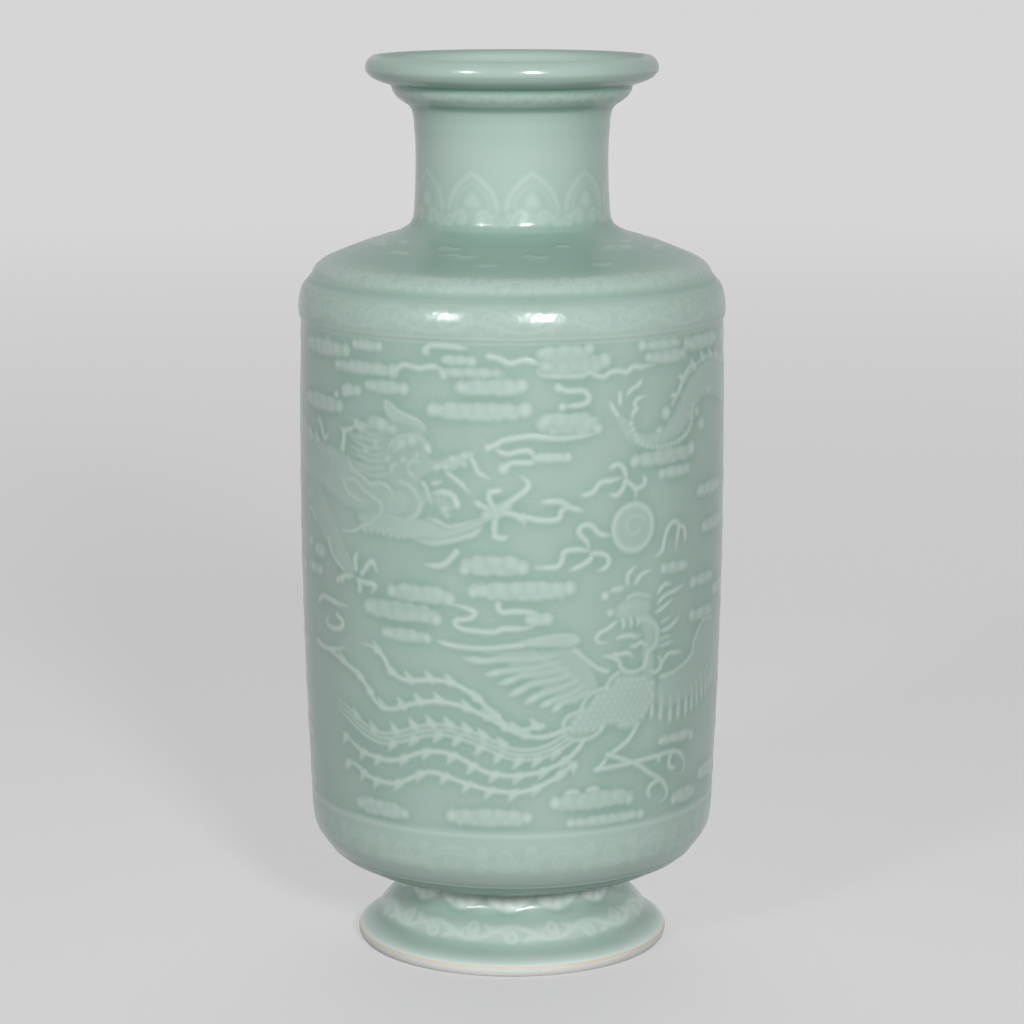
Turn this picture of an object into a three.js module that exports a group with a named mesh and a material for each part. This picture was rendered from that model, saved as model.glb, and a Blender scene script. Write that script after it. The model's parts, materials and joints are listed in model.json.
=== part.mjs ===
// Lantern vase in celadon-glazed porcelain, as its potter builds it: seven turned sections, stacked and
// joined leather-hard with rings of porcelain slip (lutes), then glazed over and fired together.
// Millimetres, +Z up. The origin is the centre of the foot's resting ring.
import * as THREE from "three";

// Heights of the sections, bottom to top
const footHeight = 27;
const bowlHeight = 33;
const lowerBodyHeight = 90;
const upperBodyHeight = 91;
const shoulderHeight = 35;
const neckHeight = 36;
const mouthHeight = 26.4;

// Outside radii
const footLipRadius = 59.6;
const restOuterRadius = 58.5;
const restInnerRadius = 53.4;
const footDomeRadius = 50.8;
const footWaistRadius = 42.4;
const bowlJointRadius = 45.4;
const bodyRadius = 80.1; // at the middle of the wall
const bowlDrawIn = 2.9; // how much narrower the wall is at the bowl
const shoulderDrawIn = 0.6; // how much narrower it is at the shoulder
const bandProud = 0.9; // how far the shoulder's band stands out from the wall
const shoulderEdgeRadius = 70.7;
const neckBaseRadius = 38.2;
const neckRadius = 36.1;
const neckTopRadius = 36.6;
const collarRadius = 45.2;
const lipRadius = 54.7;
const lipInnerRadius = 49.2;

// Details of the outline
const footLipRise = 2.5;
const footDomeRise = 12.2;
const footWaistDrop = 3.6;
const wallSwell = 0.4; // how far each half of the wall bows out between its joints
const bandHeight = 13;
const grooveHeight = 4.2; // of the shallow channel between the band and the chamfer
const grooveDepth = 3.9; // from the band's widest part in to the channel
const chamferHeight = 4.6;
const lipRollHeight = 11;
const collarHeight = 7.2;

// Walls and joints
const bodyWall = 6;
const neckWall = 5;
const footWall = 6;
const floorThickness = 7;
const floorRadius = 23; // the flat middle of the floor inside
const buttWidth = 2; // the outer part of each joint face, where clay meets clay
const luteThickness = 1;
const luteProud = 0.6; // how far the squeezed slip stands out inside
const luteClearance = 0.3;
const recessFloorDrop = 1.5; // the glazed floor seen from below hangs this far into the foot

const turns = 40; // flats round each turned section
const halfLute = luteThickness / 2;
const bowlRadius = bodyRadius - bowlDrawIn;
const bodyTopRadius = bodyRadius - shoulderDrawIn;
const bandRadius = bodyTopRadius + bandProud;

// The joints, each with its height, outside radius and wall
let level = 0;
const raise = (height) => (level += height);
const joints = {
  foot: { z: raise(footHeight), outer: footWaistRadius, wall: footWall },
  bowl: { z: raise(bowlHeight), outer: bowlRadius, wall: bodyWall },
  waist: { z: raise(lowerBodyHeight), outer: bodyRadius, wall: bodyWall },
  shoulder: { z: raise(upperBodyHeight), outer: bodyTopRadius, wall: bodyWall },
  neck: { z: raise(shoulderHeight), outer: neckBaseRadius, wall: neckWall },
  mouth: { z: raise(neckHeight), outer: neckTopRadius, wall: neckWall },
};
const topHeight = raise(mouthHeight);

const stepOf = (joint) => joint.outer - buttWidth;
const innerOf = (joint) => joint.outer - joint.wall;
const at = (radius, height) => new THREE.Vector2(radius, height);

// A smooth outline through the given points, with the given number of steps
function smooth(points, steps) {
  return new THREE.SplineCurve(points).getPoints(steps);
}

// The face at a section's upper joint, outside to inside: a butt, then the rebate that holds the lute
function upperFace(joint) {
  return [
    at(stepOf(joint), joint.z),
    at(stepOf(joint), joint.z - halfLute),
    at(innerOf(joint), joint.z - halfLute),
  ];
}

// The face at a section's lower joint, inside to outside
function lowerFace(joint) {
  return [
    at(innerOf(joint), joint.z + halfLute),
    at(stepOf(joint), joint.z + halfLute),
    at(stepOf(joint), joint.z),
  ];
}

// Turns a closed outline, given anticlockwise with the axis on its left, into a named solid
function turned(name, outline, material) {
  const geometry = new THREE.LatheGeometry([...outline, outline[0]], turns);
  geometry.rotateX(Math.PI / 2); // the lathe turns about Y
  const mesh = new THREE.Mesh(geometry, material);
  mesh.name = name;
  return mesh;
}

const celadon = new THREE.MeshStandardMaterial({ color: 0x9fbcae, roughness: 0.18, metalness: 0 });
const slip = new THREE.MeshStandardMaterial({ color: 0xe6e4dc, roughness: 0.8, metalness: 0 });

// Foot: a flared pedestal with a domed band, a narrow waist and a flat resting ring
function footRing() {
  const top = joints.foot;
  const outside = [
    at(restOuterRadius, 0),
    ...smooth(
      [
        at(restOuterRadius + 0.6, 0.7),
        at(footLipRadius, footLipRise),
        at(footLipRadius - 0.4, footLipRise + 1.7),
        at(footLipRadius - 2.7, footLipRise + 3.5),
        at(footDomeRadius + 3, footDomeRise - 4.2),
        at(footDomeRadius + 0.8, footDomeRise - 2.2),
        at(footDomeRadius, footDomeRise),
        at(footDomeRadius - 2.4, footDomeRise + 2.6),
        at(footDomeRadius - 5.4, footDomeRise + 5.4),
        at(footWaistRadius + 0.6, top.z - footWaistDrop - 2.7),
        at(footWaistRadius - 0.3, top.z - footWaistDrop),
        at(footWaistRadius, top.z),
      ],
      16,
    ),
  ];
  const inside = [
    at(innerOf(top), footDomeRise + 6),
    at(footDomeRadius - footWall - 2, footDomeRise - 1),
    at(restInnerRadius - 1.2, footLipRise),
    at(restInnerRadius, 0),
  ];
  return turned("foot_ring", [...outside, ...upperFace(top), ...inside], celadon);
}

// Base bowl: the floor and the round turn up into the wall
function baseBowl() {
  const low = joints.foot;
  const high = joints.bowl;
  const floorTop = low.z + floorThickness;
  const outside = smooth(
    [
      at(bowlJointRadius, low.z + 1.1),
      at(bowlJointRadius + 4.1, low.z + 2),
      at(bowlRadius - 22.4, low.z + 3.3),
      at(bowlRadius - 14, low.z + 6.4),
      at(bowlRadius - 8.4, low.z + 9.8),
      at(bowlRadius - 4.6, low.z + 13.9),
      at(bowlRadius - 1.7, low.z + 18.4),
      at(bowlRadius - 0.5, low.z + 23.4),
      at(bowlRadius, low.z + 29.6),
      at(bowlRadius, high.z),
    ],
    13,
  );
  const wallRadius = innerOf(high);
  const reach = wallRadius - floorRadius;
  const inside = smooth(
    [
      at(wallRadius, high.z - bowlHeight * 0.32),
      at(wallRadius - reach * 0.08, high.z - bowlHeight * 0.52),
      at(wallRadius - reach * 0.3, floorTop + 3.4),
      at(wallRadius - reach * 0.63, floorTop + 0.6),
      at(floorRadius, floorTop),
    ],
    8,
  );
  const plug = innerOf(low) - luteClearance - luteProud; // the floor's round boss, inside the lute
  return turned(
    "base_bowl",
    [
      at(0, low.z - recessFloorDrop),
      at(plug, low.z - recessFloorDrop),
      at(plug, low.z + halfLute),
      at(stepOf(low), low.z + halfLute),
      at(stepOf(low), low.z),
      at(low.outer, low.z),
      ...outside,
      ...upperFace(high),
      ...inside,
      at(0, floorTop),
    ],
    celadon,
  );
}

// A plain wall between two joints, with a slight swell in the middle
function wallSection(name, low, high) {
  const middle = (low.z + high.z) / 2;
  const swell = (low.outer + high.outer) / 2 + wallSwell;
  const outside = smooth([at(low.outer, low.z), at(swell, middle), at(high.outer, high.z)], 6);
  const inside = [at(swell - low.wall, middle)];
  return turned(name, [...outside, ...upperFace(high), ...inside, ...lowerFace(low)], celadon);
}

// Shoulder: a rounded band, a shallow channel, a chamfered band and a slope up to the neck
function shoulderSection() {
  const low = joints.shoulder;
  const high = joints.neck;
  const bandTop = low.z + bandHeight;
  const chamferFoot = bandTop + grooveHeight;
  const edge = chamferFoot + chamferHeight;
  const outside = [
    at(low.outer, low.z),
    ...smooth(
      [
        at(bandRadius - 0.3, low.z + 1),
        at(bandRadius, low.z + 3.4),
        at(bandRadius - 0.1, low.z + 6.4),
        at(bandRadius - 0.5, bandTop - 4.2),
        at(bandRadius - 1.1, bandTop - 2),
        at(bandRadius - 2.1, bandTop),
        at(bandRadius - grooveDepth + 0.6, bandTop + 1.2),
        at(bandRadius - grooveDepth, bandTop + grooveHeight / 2),
        at(bandRadius - grooveDepth - 0.8, chamferFoot),
        at(shoulderEdgeRadius + 3.7, edge - 3.2),
        at(shoulderEdgeRadius + 2.2, edge - 1.6),
        at(shoulderEdgeRadius, edge),
        at(shoulderEdgeRadius - 3.3, edge + 1.5),
        at(shoulderEdgeRadius - 10.3, edge + 4.3),
        at(shoulderEdgeRadius - 19.8, edge + 7.6),
        at(neckBaseRadius + 5.3, high.z - 3.3),
        at(neckBaseRadius + 1.1, high.z - 1),
        at(neckBaseRadius, high.z),
      ],
      26,
    ),
  ];
  const inside = [
    at(innerOf(high), high.z - 6),
    at(innerOf(high) + 6, high.z - 10),
    at(shoulderEdgeRadius - 8.2, edge - 3.8),
    at(shoulderEdgeRadius - 2.2, bandTop + 0.6),
    at(innerOf(low), low.z + 7),
  ];
  return turned("shoulder", [...outside, ...upperFace(high), ...inside, ...lowerFace(low)], celadon);
}

// Neck: a waisted tube
function neckSection() {
  const low = joints.neck;
  const high = joints.mouth;
  const middle = low.z + neckHeight * 0.56;
  const outside = smooth(
    [
      at(low.outer, low.z),
      at(neckRadius + 1.1, low.z + 2.2),
      at(neckRadius + 0.7, low.z + 5),
      at(neckRadius + 0.3, low.z + 11),
      at(neckRadius, middle),
      at(neckRadius + 0.05, high.z - 6),
      at(high.outer, high.z),
    ],
    11,
  );
  const inside = [at(neckRadius - neckWall, middle)];
  return turned("neck", [...outside, ...upperFace(high), ...inside, ...lowerFace(low)], celadon);
}

// Mouth: a flared collar under a thick rolled lip
function mouthSection() {
  const low = joints.mouth;
  const rollFoot = topHeight - lipRollHeight;
  const collarFoot = rollFoot - collarHeight;
  const outside = smooth(
    [
      at(low.outer, low.z),
      at(low.outer + 0.2, collarFoot - 4.7),
      at(low.outer + 1, collarFoot - 1.6),
      at(low.outer + 2.2, collarFoot),
      at(collarRadius - 4, collarFoot + 1.6),
      at(collarRadius - 1.9, rollFoot - 3.7),
      at(collarRadius - 0.6, rollFoot - 1.7),
      at(collarRadius, rollFoot),
      at(collarRadius + 1.5, rollFoot + 0.7),
      at(lipRadius - 5.3, rollFoot + 1.6),
      at(lipRadius - 2.3, rollFoot + 3),
      at(lipRadius - 0.5, topHeight - 6.1),
      at(lipRadius, topHeight - 4.8),
      at(lipRadius - 0.4, topHeight - 2.6),
      at(lipRadius - 1.6, topHeight - 0.9),
      at(lipRadius - 3.2, topHeight),
      at(lipInnerRadius + 0.9, topHeight - 0.6),
      at(lipInnerRadius, topHeight - 2.2),
    ],
    26,
  );
  const inside = smooth(
    [
      at(lipInnerRadius - 1.6, topHeight - 5.6),
      at(collarRadius - 3.6, rollFoot + 0.4),
      at(innerOf(low) + 6.2, collarFoot + 4),
      at(innerOf(low) + 2.2, collarFoot),
      at(innerOf(low) + 0.4, low.z + 4),
    ],
    7,
  );
  return turned("mouth_rim", [...outside, ...inside, ...lowerFace(low)], celadon);
}

// Lute: the slip ring that fills a joint's rebate and stands a little proud inside
function lute(name, joint) {
  const outer = stepOf(joint) - luteClearance;
  const inner = innerOf(joint) - luteProud;
  const outline = [
    at(inner, joint.z - halfLute),
    at(outer, joint.z - halfLute),
    at(outer, joint.z + halfLute),
    at(inner, joint.z + halfLute),
  ];
  return turned(name, outline, slip);
}

const vase = new THREE.Group();
vase.name = "lantern_vase";
vase.add(
  footRing(),
  baseBowl(),
  wallSection("lower_body", joints.bowl, joints.waist),
  wallSection("upper_body", joints.waist, joints.shoulder),
  shoulderSection(),
  neckSection(),
  mouthSection(),
  lute("lute_foot", joints.foot),
  lute("lute_bowl", joints.bowl),
  lute("lute_waist", joints.waist),
  lute("lute_shoulder", joints.shoulder),
  lute("lute_neck", joints.neck),
  lute("lute_mouth", joints.mouth),
);

export default vase;
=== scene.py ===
import json
import math

import bmesh
import bpy
import numpy as np
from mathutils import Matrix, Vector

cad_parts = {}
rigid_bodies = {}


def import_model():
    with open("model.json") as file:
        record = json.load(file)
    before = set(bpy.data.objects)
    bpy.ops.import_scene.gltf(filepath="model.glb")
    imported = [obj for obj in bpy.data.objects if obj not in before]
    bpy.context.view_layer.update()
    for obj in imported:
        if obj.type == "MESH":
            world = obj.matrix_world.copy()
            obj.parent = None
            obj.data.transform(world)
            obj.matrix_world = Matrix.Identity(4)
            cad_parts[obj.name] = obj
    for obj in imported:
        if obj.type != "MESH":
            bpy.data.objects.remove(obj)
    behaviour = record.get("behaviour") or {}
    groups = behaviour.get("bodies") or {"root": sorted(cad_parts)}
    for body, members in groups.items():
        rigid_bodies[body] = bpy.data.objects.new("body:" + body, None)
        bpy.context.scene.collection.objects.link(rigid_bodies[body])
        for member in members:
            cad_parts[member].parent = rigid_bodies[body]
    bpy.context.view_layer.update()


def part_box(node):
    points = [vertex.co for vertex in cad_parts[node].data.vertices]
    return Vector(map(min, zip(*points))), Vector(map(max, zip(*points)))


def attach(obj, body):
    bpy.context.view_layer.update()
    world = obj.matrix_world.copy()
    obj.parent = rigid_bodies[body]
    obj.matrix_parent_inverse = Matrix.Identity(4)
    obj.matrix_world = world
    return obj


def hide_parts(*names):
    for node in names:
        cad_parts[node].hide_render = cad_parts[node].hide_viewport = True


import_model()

MM = 0.001
SPACING = 0.5  # mm between the points of a fine surface, up and around
spacing = SPACING


def top_of(node):
    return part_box(node)[1][2] / MM


def radius_of(node):
    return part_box(node)[1][0] / MM


# Heights of the joints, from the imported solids
FOOT_TOP = top_of("foot_ring")
BOWL_TOP = top_of("base_bowl")
WAIST = top_of("lower_body")
BODY_TOP = top_of("upper_body")
NECK_FOOT = top_of("shoulder")
NECK_TOP = top_of("neck")
LIP_TOP = top_of("mouth_rim")

# Radii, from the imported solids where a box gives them
FOOT_LIP = radius_of("foot_ring")
BAND = radius_of("shoulder")
LIP = radius_of("mouth_rim")
REST_OUTER = 58.5
REST_INNER = 53.4
FOOT_DOME = 50.8
FOOT_WAIST = 42.4
BOWL_JOINT = 45.4
BOWL = 77.2
BODY_WAIST = 80.1
BODY_TOP_RADIUS = 79.5
SHOULDER_EDGE = 70.7
NECK_BASE = 38.2
NECK = 36.1
NECK_TOP_RADIUS = 36.6
COLLAR = 45.2
LIP_INNER = 49.2

# Outline details and walls
FOOT_LIP_RISE = 2.5
FOOT_DOME_RISE = 12.2
FOOT_WAIST_DROP = 3.6
GLAZE_EDGE = 4.0  # the glaze is wiped off the foot below this height
WALL_SWELL = 0.4
BAND_TOP = BODY_TOP + 13
GROOVE_DEPTH = 3.9
CHAMFER_FOOT = BAND_TOP + 4.2
CHAMFER_TOP = CHAMFER_FOOT + 4.6
NECK_NARROWS = NECK_FOOT + (NECK_TOP - NECK_FOOT) * 0.56  # where the neck is narrowest
ROLL_FOOT = LIP_TOP - 11
COLLAR_FOOT = ROLL_FOOT - 7.2
FLOOR_RADIUS = 23
BODY_WALL = 6
RIM_WALL = 8.6
NECK_WALL = 5
BUTT = 2
FLOOR = 7
RECESS_DROP = 1.5

UNROLLED_RADIUS = 79.6  # the body's drawing lies on a sheet of this radius, and is carved twice

# The camera in mm and degrees, then the photograph's focal length and middle in pixels
CAMERA_BACK = 1226
CAMERA_RISE = 393
CAMERA_TILT = 10.51
CAMERA_LENS = 114.9
PHOTO_FOCUS = 3269
PHOTO_MIDDLE = (511.5, 512)

# Heights of the relief, in mm
LINE = 0.42
KNOB = 0.4
LOBE = 0.13
LOW = 0.24
FAINT = 0.08

TINY = 1e-12


def smooth(points, steps=12):
    """A Catmull-Rom curve through the points."""
    points = np.asarray(points, float)
    ends = np.vstack([points[:1], points, points[-1:]])
    t = np.linspace(0, 1, steps, endpoint=False)[:, None]
    rows = []
    for before, start, end, after in zip(ends, ends[1:], ends[2:], ends[3:]):
        leave = (end - before) / 2
        arrive = (after - start) / 2
        rows.append(
            (2 * start - 2 * end + leave + arrive) * t**3
            + (3 * end - 3 * start - 2 * leave - arrive) * t**2
            + leave * t
            + start
        )
    rows.append(points[-1:])
    return np.vstack(rows)


def way_up(outline):
    """Distance along a line from its first point."""
    gaps = np.hypot(*np.diff(outline[:, :2], axis=0).T)
    return np.concatenate([[0], np.cumsum(gaps)])


def even(points, step):
    """The same line with points a step apart."""
    points = np.asarray(points, float)
    run = way_up(points)
    count = max(2, int(round(run[-1] / step)) + 1)
    at = np.linspace(0, run[-1], count)
    return np.stack([np.interp(at, run, column) for column in points.T], 1)


# The outside of each section, bottom to top, as (radius, height, tone of the glaze). The glaze is pale
# where it runs
# thin over an edge, tone above 0, and deep where it pools, below 0. Some tones are painted light and shade
# instead:
# paler at the foot's top, darker under the bowl, on the shoulder's slope, under the collar and the lip's
# roll.

def foot_outline():
    waist = FOOT_TOP - FOOT_WAIST_DROP
    flare = smooth([
        (REST_OUTER + 0.6, 0.7, 0),
        (FOOT_LIP, FOOT_LIP_RISE, 0.95),
        (FOOT_LIP - 0.4, FOOT_LIP_RISE + 1.7, 0.95),
        (FOOT_LIP - 2.7, FOOT_LIP_RISE + 3.5, 0.38),
        (FOOT_DOME + 3, FOOT_DOME_RISE - 4.2, -0.02),
        (FOOT_DOME + 1.4, FOOT_DOME_RISE - 2.2, -0.02),
        (FOOT_DOME, FOOT_DOME_RISE, 0.42),
        (FOOT_DOME - 2.4, FOOT_DOME_RISE + 2.6, 0.38),
        (FOOT_DOME - 5.4, FOOT_DOME_RISE + 5.4, 0),
        (FOOT_WAIST + 0.6, waist - 2.7, 0.12),
        # Painted light: the foot's top is made paler to offset the bowl's real shadow there, on top of
        # glaze thin over the lappets
        (FOOT_WAIST - 0.3, waist, 0.42),
        (FOOT_WAIST, FOOT_TOP, 0.6),
    ])
    return np.vstack([[(REST_OUTER, 0, 0)], flare])


def bowl_outline():
    # Painted shade and light: the underside is made darker and the band above the turn paler, by how light
    # falls on them
    turn = smooth([
        (BOWL_JOINT, FOOT_TOP + 1.1, -0.1),
        (BOWL_JOINT + 4.1, FOOT_TOP + 2, -0.17),
        (BOWL - 22.4, FOOT_TOP + 3.3, -0.25),
        (BOWL - 14, FOOT_TOP + 6.4, -0.42),
        (BOWL - 8.4, FOOT_TOP + 9.8, -0.3),
        (BOWL - 4.6, FOOT_TOP + 13.9, 0.12),
        (BOWL - 1.7, FOOT_TOP + 18.4, 0.15),
        (BOWL - 0.5, FOOT_TOP + 23.4, 0.12),
        (BOWL, FOOT_TOP + 29.6, 0.13),
        (BOWL, BOWL_TOP, 0.13),
    ])
    return np.vstack([[(FOOT_WAIST, FOOT_TOP, -0.2)], turn])


def wall_outline(low_radius, low, high_radius, high):
    swell = (low_radius + high_radius) / 2 + WALL_SWELL
    return smooth([(low_radius, low, 0), (swell, (low + high) / 2, 0), (high_radius, high, 0)])


def shoulder_outline():
    channel = BAND - GROOVE_DEPTH
    curve = smooth([
        (BAND - 0.3, BODY_TOP + 1, 0.15),
        (BAND, BODY_TOP + 3.4, 0.12),
        (BAND - 0.1, BODY_TOP + 6.4, 0.11),
        (BAND - 0.5, BAND_TOP - 4.2, 0.11),
        (BAND - 1.1, BAND_TOP - 2, 0.05),
        (BAND - 2.1, BAND_TOP, 0.02),
        (channel + 0.7, BAND_TOP + 1.1, -0.05),
        (channel - 0.1, BAND_TOP + 2.2, -0.12),
        (channel - 1.3, CHAMFER_FOOT - 0.4, 0.02),
        (SHOULDER_EDGE + 3.7, CHAMFER_TOP - 3.2, 0.11),
        (SHOULDER_EDGE + 2.2, CHAMFER_TOP - 1.6, 0.12),
        (SHOULDER_EDGE, CHAMFER_TOP, 0),
        # Painted shade: the shoulder's slope is made darker, down to the neck's foot
        (SHOULDER_EDGE - 3.3, CHAMFER_TOP + 1.5, -0.12),
        (SHOULDER_EDGE - 10.3, CHAMFER_TOP + 4.3, -0.2),
        (SHOULDER_EDGE - 19.8, CHAMFER_TOP + 7.6, -0.18),
        (NECK_BASE + 5.3, NECK_FOOT - 3.3, -0.18),
        (NECK_BASE + 1.1, NECK_FOOT - 1, -0.2),
        (NECK_BASE, NECK_FOOT, -0.15),
    ])
    return np.vstack([[(BODY_TOP_RADIUS, BODY_TOP, 0.1)], curve])


def neck_outline():
    return smooth([
        # The neck's foot carries on the slope's painted shade
        (NECK_BASE, NECK_FOOT, -0.15),
        (NECK + 1.1, NECK_FOOT + 2.2, -0.07),
        (NECK + 0.7, NECK_FOOT + 5, 0.06),
        (NECK + 0.3, NECK_FOOT + 11, 0.11),
        (NECK, NECK_NARROWS, 0.13),
        (NECK + 0.05, NECK_TOP - 6, 0.13),
        (NECK_TOP_RADIUS, NECK_TOP, 0.05),
    ])


def mouth_outline():
    return smooth([
        (NECK_TOP_RADIUS, NECK_TOP, 0.05),
        (NECK_TOP_RADIUS + 0.2, COLLAR_FOOT - 4.7, 0.02),
        (NECK_TOP_RADIUS + 1, COLLAR_FOOT - 1.6, -0.05),
        # Painted shade: darker under the collar's and the lip roll's overhangs
        (NECK_TOP_RADIUS + 2.2, COLLAR_FOOT, -0.3),
        (COLLAR - 4, COLLAR_FOOT + 1.6, 0),
        (COLLAR - 1.9, ROLL_FOOT - 3.7, 0.1),
        (COLLAR - 0.6, ROLL_FOOT - 1.7, 0.08),
        (COLLAR, ROLL_FOOT, -0.55),
        (COLLAR + 1.5, ROLL_FOOT + 0.7, -0.5),
        (LIP - 5.3, ROLL_FOOT + 1.6, -0.2),
        (LIP - 2.3, ROLL_FOOT + 3, 0.05),
        (LIP - 0.5, LIP_TOP - 6.1, 0.08),
        (LIP, LIP_TOP - 4.8, 0.1),
        (LIP - 0.4, LIP_TOP - 2.6, 0.11),
        (LIP - 1.6, LIP_TOP - 0.9, 0.12),
        (LIP - 3.2, LIP_TOP, 0.1),
        # Painted shade: a dark line just inside the lip's top, where it turns away from the lamps
        (LIP_INNER + 0.9, LIP_TOP - 0.6, -0.12),
        (LIP_INNER, LIP_TOP - 2.2, 0.1),
    ])


class Carving:
    """A sheet of low relief, in mm: s runs round the vase and repeats, v runs up it."""

    PIXEL = 0.25
    DAB_STEP = 0.35  # between the dabs that make up a line
    DAB_SPREAD = 0.12  # added to a line's half width, because a dab is thin at its edge
    TIP_WIDTH = 0.3  # the share of a line's width that is left where it thins to a tip
    LEAST_HEIGHT = 0.45  # the share of a line's height that doesn't fall with its width
    MARGIN = 0.5  # round a pad, so that none of its pixels is missed
    END_FADE = 1.2  # the relief fades out over this at the sheet's lower and upper ends
    RAISED_PALE = 0.3  # how pale the glaze is on what is raised, apart from its edges

    def __init__(self, repeats, radius, low, high, start=0.0):
        self.repeats = repeats
        self.start = start / radius  # the angle where s is 0, from a distance round the vase
        self.width = 2 * math.pi * radius / repeats
        self.low = low
        self.high = high
        self.columns = int(round(self.width / self.PIXEL))
        self.rows = int(round((high - low) / self.PIXEL)) + 1
        self.height = np.zeros((self.rows, self.columns))

    def patch(self, s, v, radius):
        """The pixels round a point, and a swelling from 1 at the point to 0 at the radius."""
        column = s / self.width * self.columns
        row = (v - self.low) / self.PIXEL
        span = int(math.ceil(radius / self.PIXEL)) + 1
        columns = np.arange(int(column) - span, int(column) + span + 1)
        rows = np.arange(max(0, int(row) - span), min(self.rows, int(row) + span + 1))
        across = (columns - column) * self.PIXEL
        up = (rows - row) * self.PIXEL
        square = (across[None, :] ** 2 + up[:, None] ** 2) / radius**2
        return np.ix_(rows, columns % self.columns), np.clip(1 - square, 0, 1)

    def dab(self, s, v, radius, height=KNOB):
        """A round bead of clay."""
        place, swelling = self.patch(s, v, radius)
        self.height[place] = np.maximum(self.height[place], height * swelling**0.75)

    def puff(self, s, v, radius, height=LOBE):
        """A round swelling on what was there when the sheet was frozen."""
        place, swelling = self.patch(s, v, radius)
        self.height[place] = np.maximum(self.height[place], self.base[place] + height * swelling)

    def freeze(self):
        """Remembers the relief so far, so that more can be laid on it."""
        self.base = self.height.copy()

    def stroke(self, points, width, height=LINE, thin_start=0.0, thin_end=0.0, curve=True):
        """A trailed line through the points, thinner towards its ends where asked."""
        line = even(smooth(points, 8) if curve else points, self.DAB_STEP)
        for index, (s, v) in enumerate(line):
            along = index / (len(line) - 1)
            thin = 1.0
            for away, stretch in ((along, thin_start), (1 - along, thin_end)):
                if stretch:
                    thin = min(thin, self.TIP_WIDTH + (1 - self.TIP_WIDTH) * away / stretch)
            share = self.LEAST_HEIGHT + (1 - self.LEAST_HEIGHT) * thin
            self.dab(s, v, width / 2 * thin + self.DAB_SPREAD, height * share)

    def trail(self, lines, width, height=LINE, thin_start=0.12, thin_end=0.3):
        """Several trailed lines alike."""
        for points in lines:
            self.stroke(points, width, height, thin_start, thin_end)

    def ring(self, v, width, height):
        """A line all the way round."""
        self.stroke([(0, v), (self.width, v)], width, height, curve=False)

    def both_sides(self, points, width, height=FAINT, thin_start=0.0, thin_end=0.0):
        """A line given as (distance from the middle of the repeat, v), drawn on both sides of it."""
        for side in (-1, 1):
            line = [(self.width / 2 + side * s, v) for s, v in points]
            self.stroke(line, width, height, thin_start, thin_end)

    def wave(self, middle, swing, width, height):
        """A line that waves once in a repeat, and starts a swing above its middle level."""
        steps = 16
        points = []
        for step in range(-1, steps + 2):
            lift = swing * math.cos(math.pi * step / (steps / 2))
            points.append((self.width * step / steps, middle + lift))
        self.stroke(points, width, height)

    def pad(self, outline, height=LOW, edge=1.5, rim=0.05, rim_width=0.9):
        """A raised shape with a soft edge and a slightly raised rim."""
        ring = smooth(list(outline) + [outline[0]], 5)
        low = ring.min(0) - self.MARGIN
        high = ring.max(0) + self.MARGIN
        columns = np.arange(int(low[0] / self.PIXEL), int(high[0] / self.PIXEL) + 1)
        first = max(0, int((low[1] - self.low) / self.PIXEL))
        last = min(self.rows, int((high[1] - self.low) / self.PIXEL) + 1)
        rows = np.arange(first, last)
        s = (columns * self.width / self.columns)[None, :] + np.zeros((len(rows), 1))
        v = (self.low + rows * self.PIXEL)[:, None] + np.zeros((1, len(columns)))
        depth = inside_depth(s, v, ring)
        rise = np.clip(depth / edge, 0, 1)
        shape = height * rise * rise * (3 - 2 * rise)
        from_rim = (depth - rim_width * 0.7) / (rim_width * 0.5)
        shape += rim * np.exp(-(from_rim**2)) * (depth > 0)
        place = np.ix_(rows, columns % self.columns)
        self.height[place] = np.maximum(self.height[place], shape)

    def glaze(self, soften=0.4, pool=2.6, pale=0.95, depth=1.0):
        """The glazed surface in mm, and its tone: pale where the glaze is thin over an edge."""
        carved = self.blurred(soften)
        row = np.arange(self.rows)
        fade = np.clip(np.minimum(row, row[::-1]) * self.PIXEL / self.END_FADE, 0, 1)[:, None]
        self.surface = fade * depth * carved  # the glaze fills part of the carving's depth
        self.tone = fade * pale * (carved - self.blurred(pool) + self.RAISED_PALE * carved)

    def blurred(self, reach):
        """The relief with everything finer than the reach smoothed away."""
        pad = int(math.ceil(4 * reach / self.PIXEL))
        sheet = np.pad(self.height, ((pad, pad), (0, 0)), mode="edge")
        up = np.fft.fftfreq(sheet.shape[0], self.PIXEL)[:, None]
        across = np.fft.rfftfreq(sheet.shape[1], self.PIXEL)[None, :]
        low_pass = np.exp(-2 * (math.pi * reach) ** 2 * (up**2 + across**2))
        result = np.fft.irfft2(np.fft.rfft2(sheet) * low_pass, s=sheet.shape)
        return result[pad:pad + self.rows]

    def read(self, field, angle, way):
        """A field's value at angles round the vase and ways up it."""
        column = ((angle - self.start) / (2 * math.pi) * self.repeats) % 1.0 * self.columns
        row = (way - self.low) / self.PIXEL
        inside = (row >= 0) & (row <= self.rows - 1)
        row = np.clip(row, 0, self.rows - 1.001)  # so that there is a row above
        left = np.floor(column).astype(int)
        below = np.floor(row).astype(int)
        rightward = column - left
        upward = row - below
        right = (left + 1) % self.columns
        left = left % self.columns
        value = (field[below, left] * (1 - rightward) + field[below, right] * rightward) * (1 - upward)
        value += (field[below + 1, left] * (1 - rightward) + field[below + 1, right] * rightward) * upward
        return np.where(inside, value, 0.0)


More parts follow.
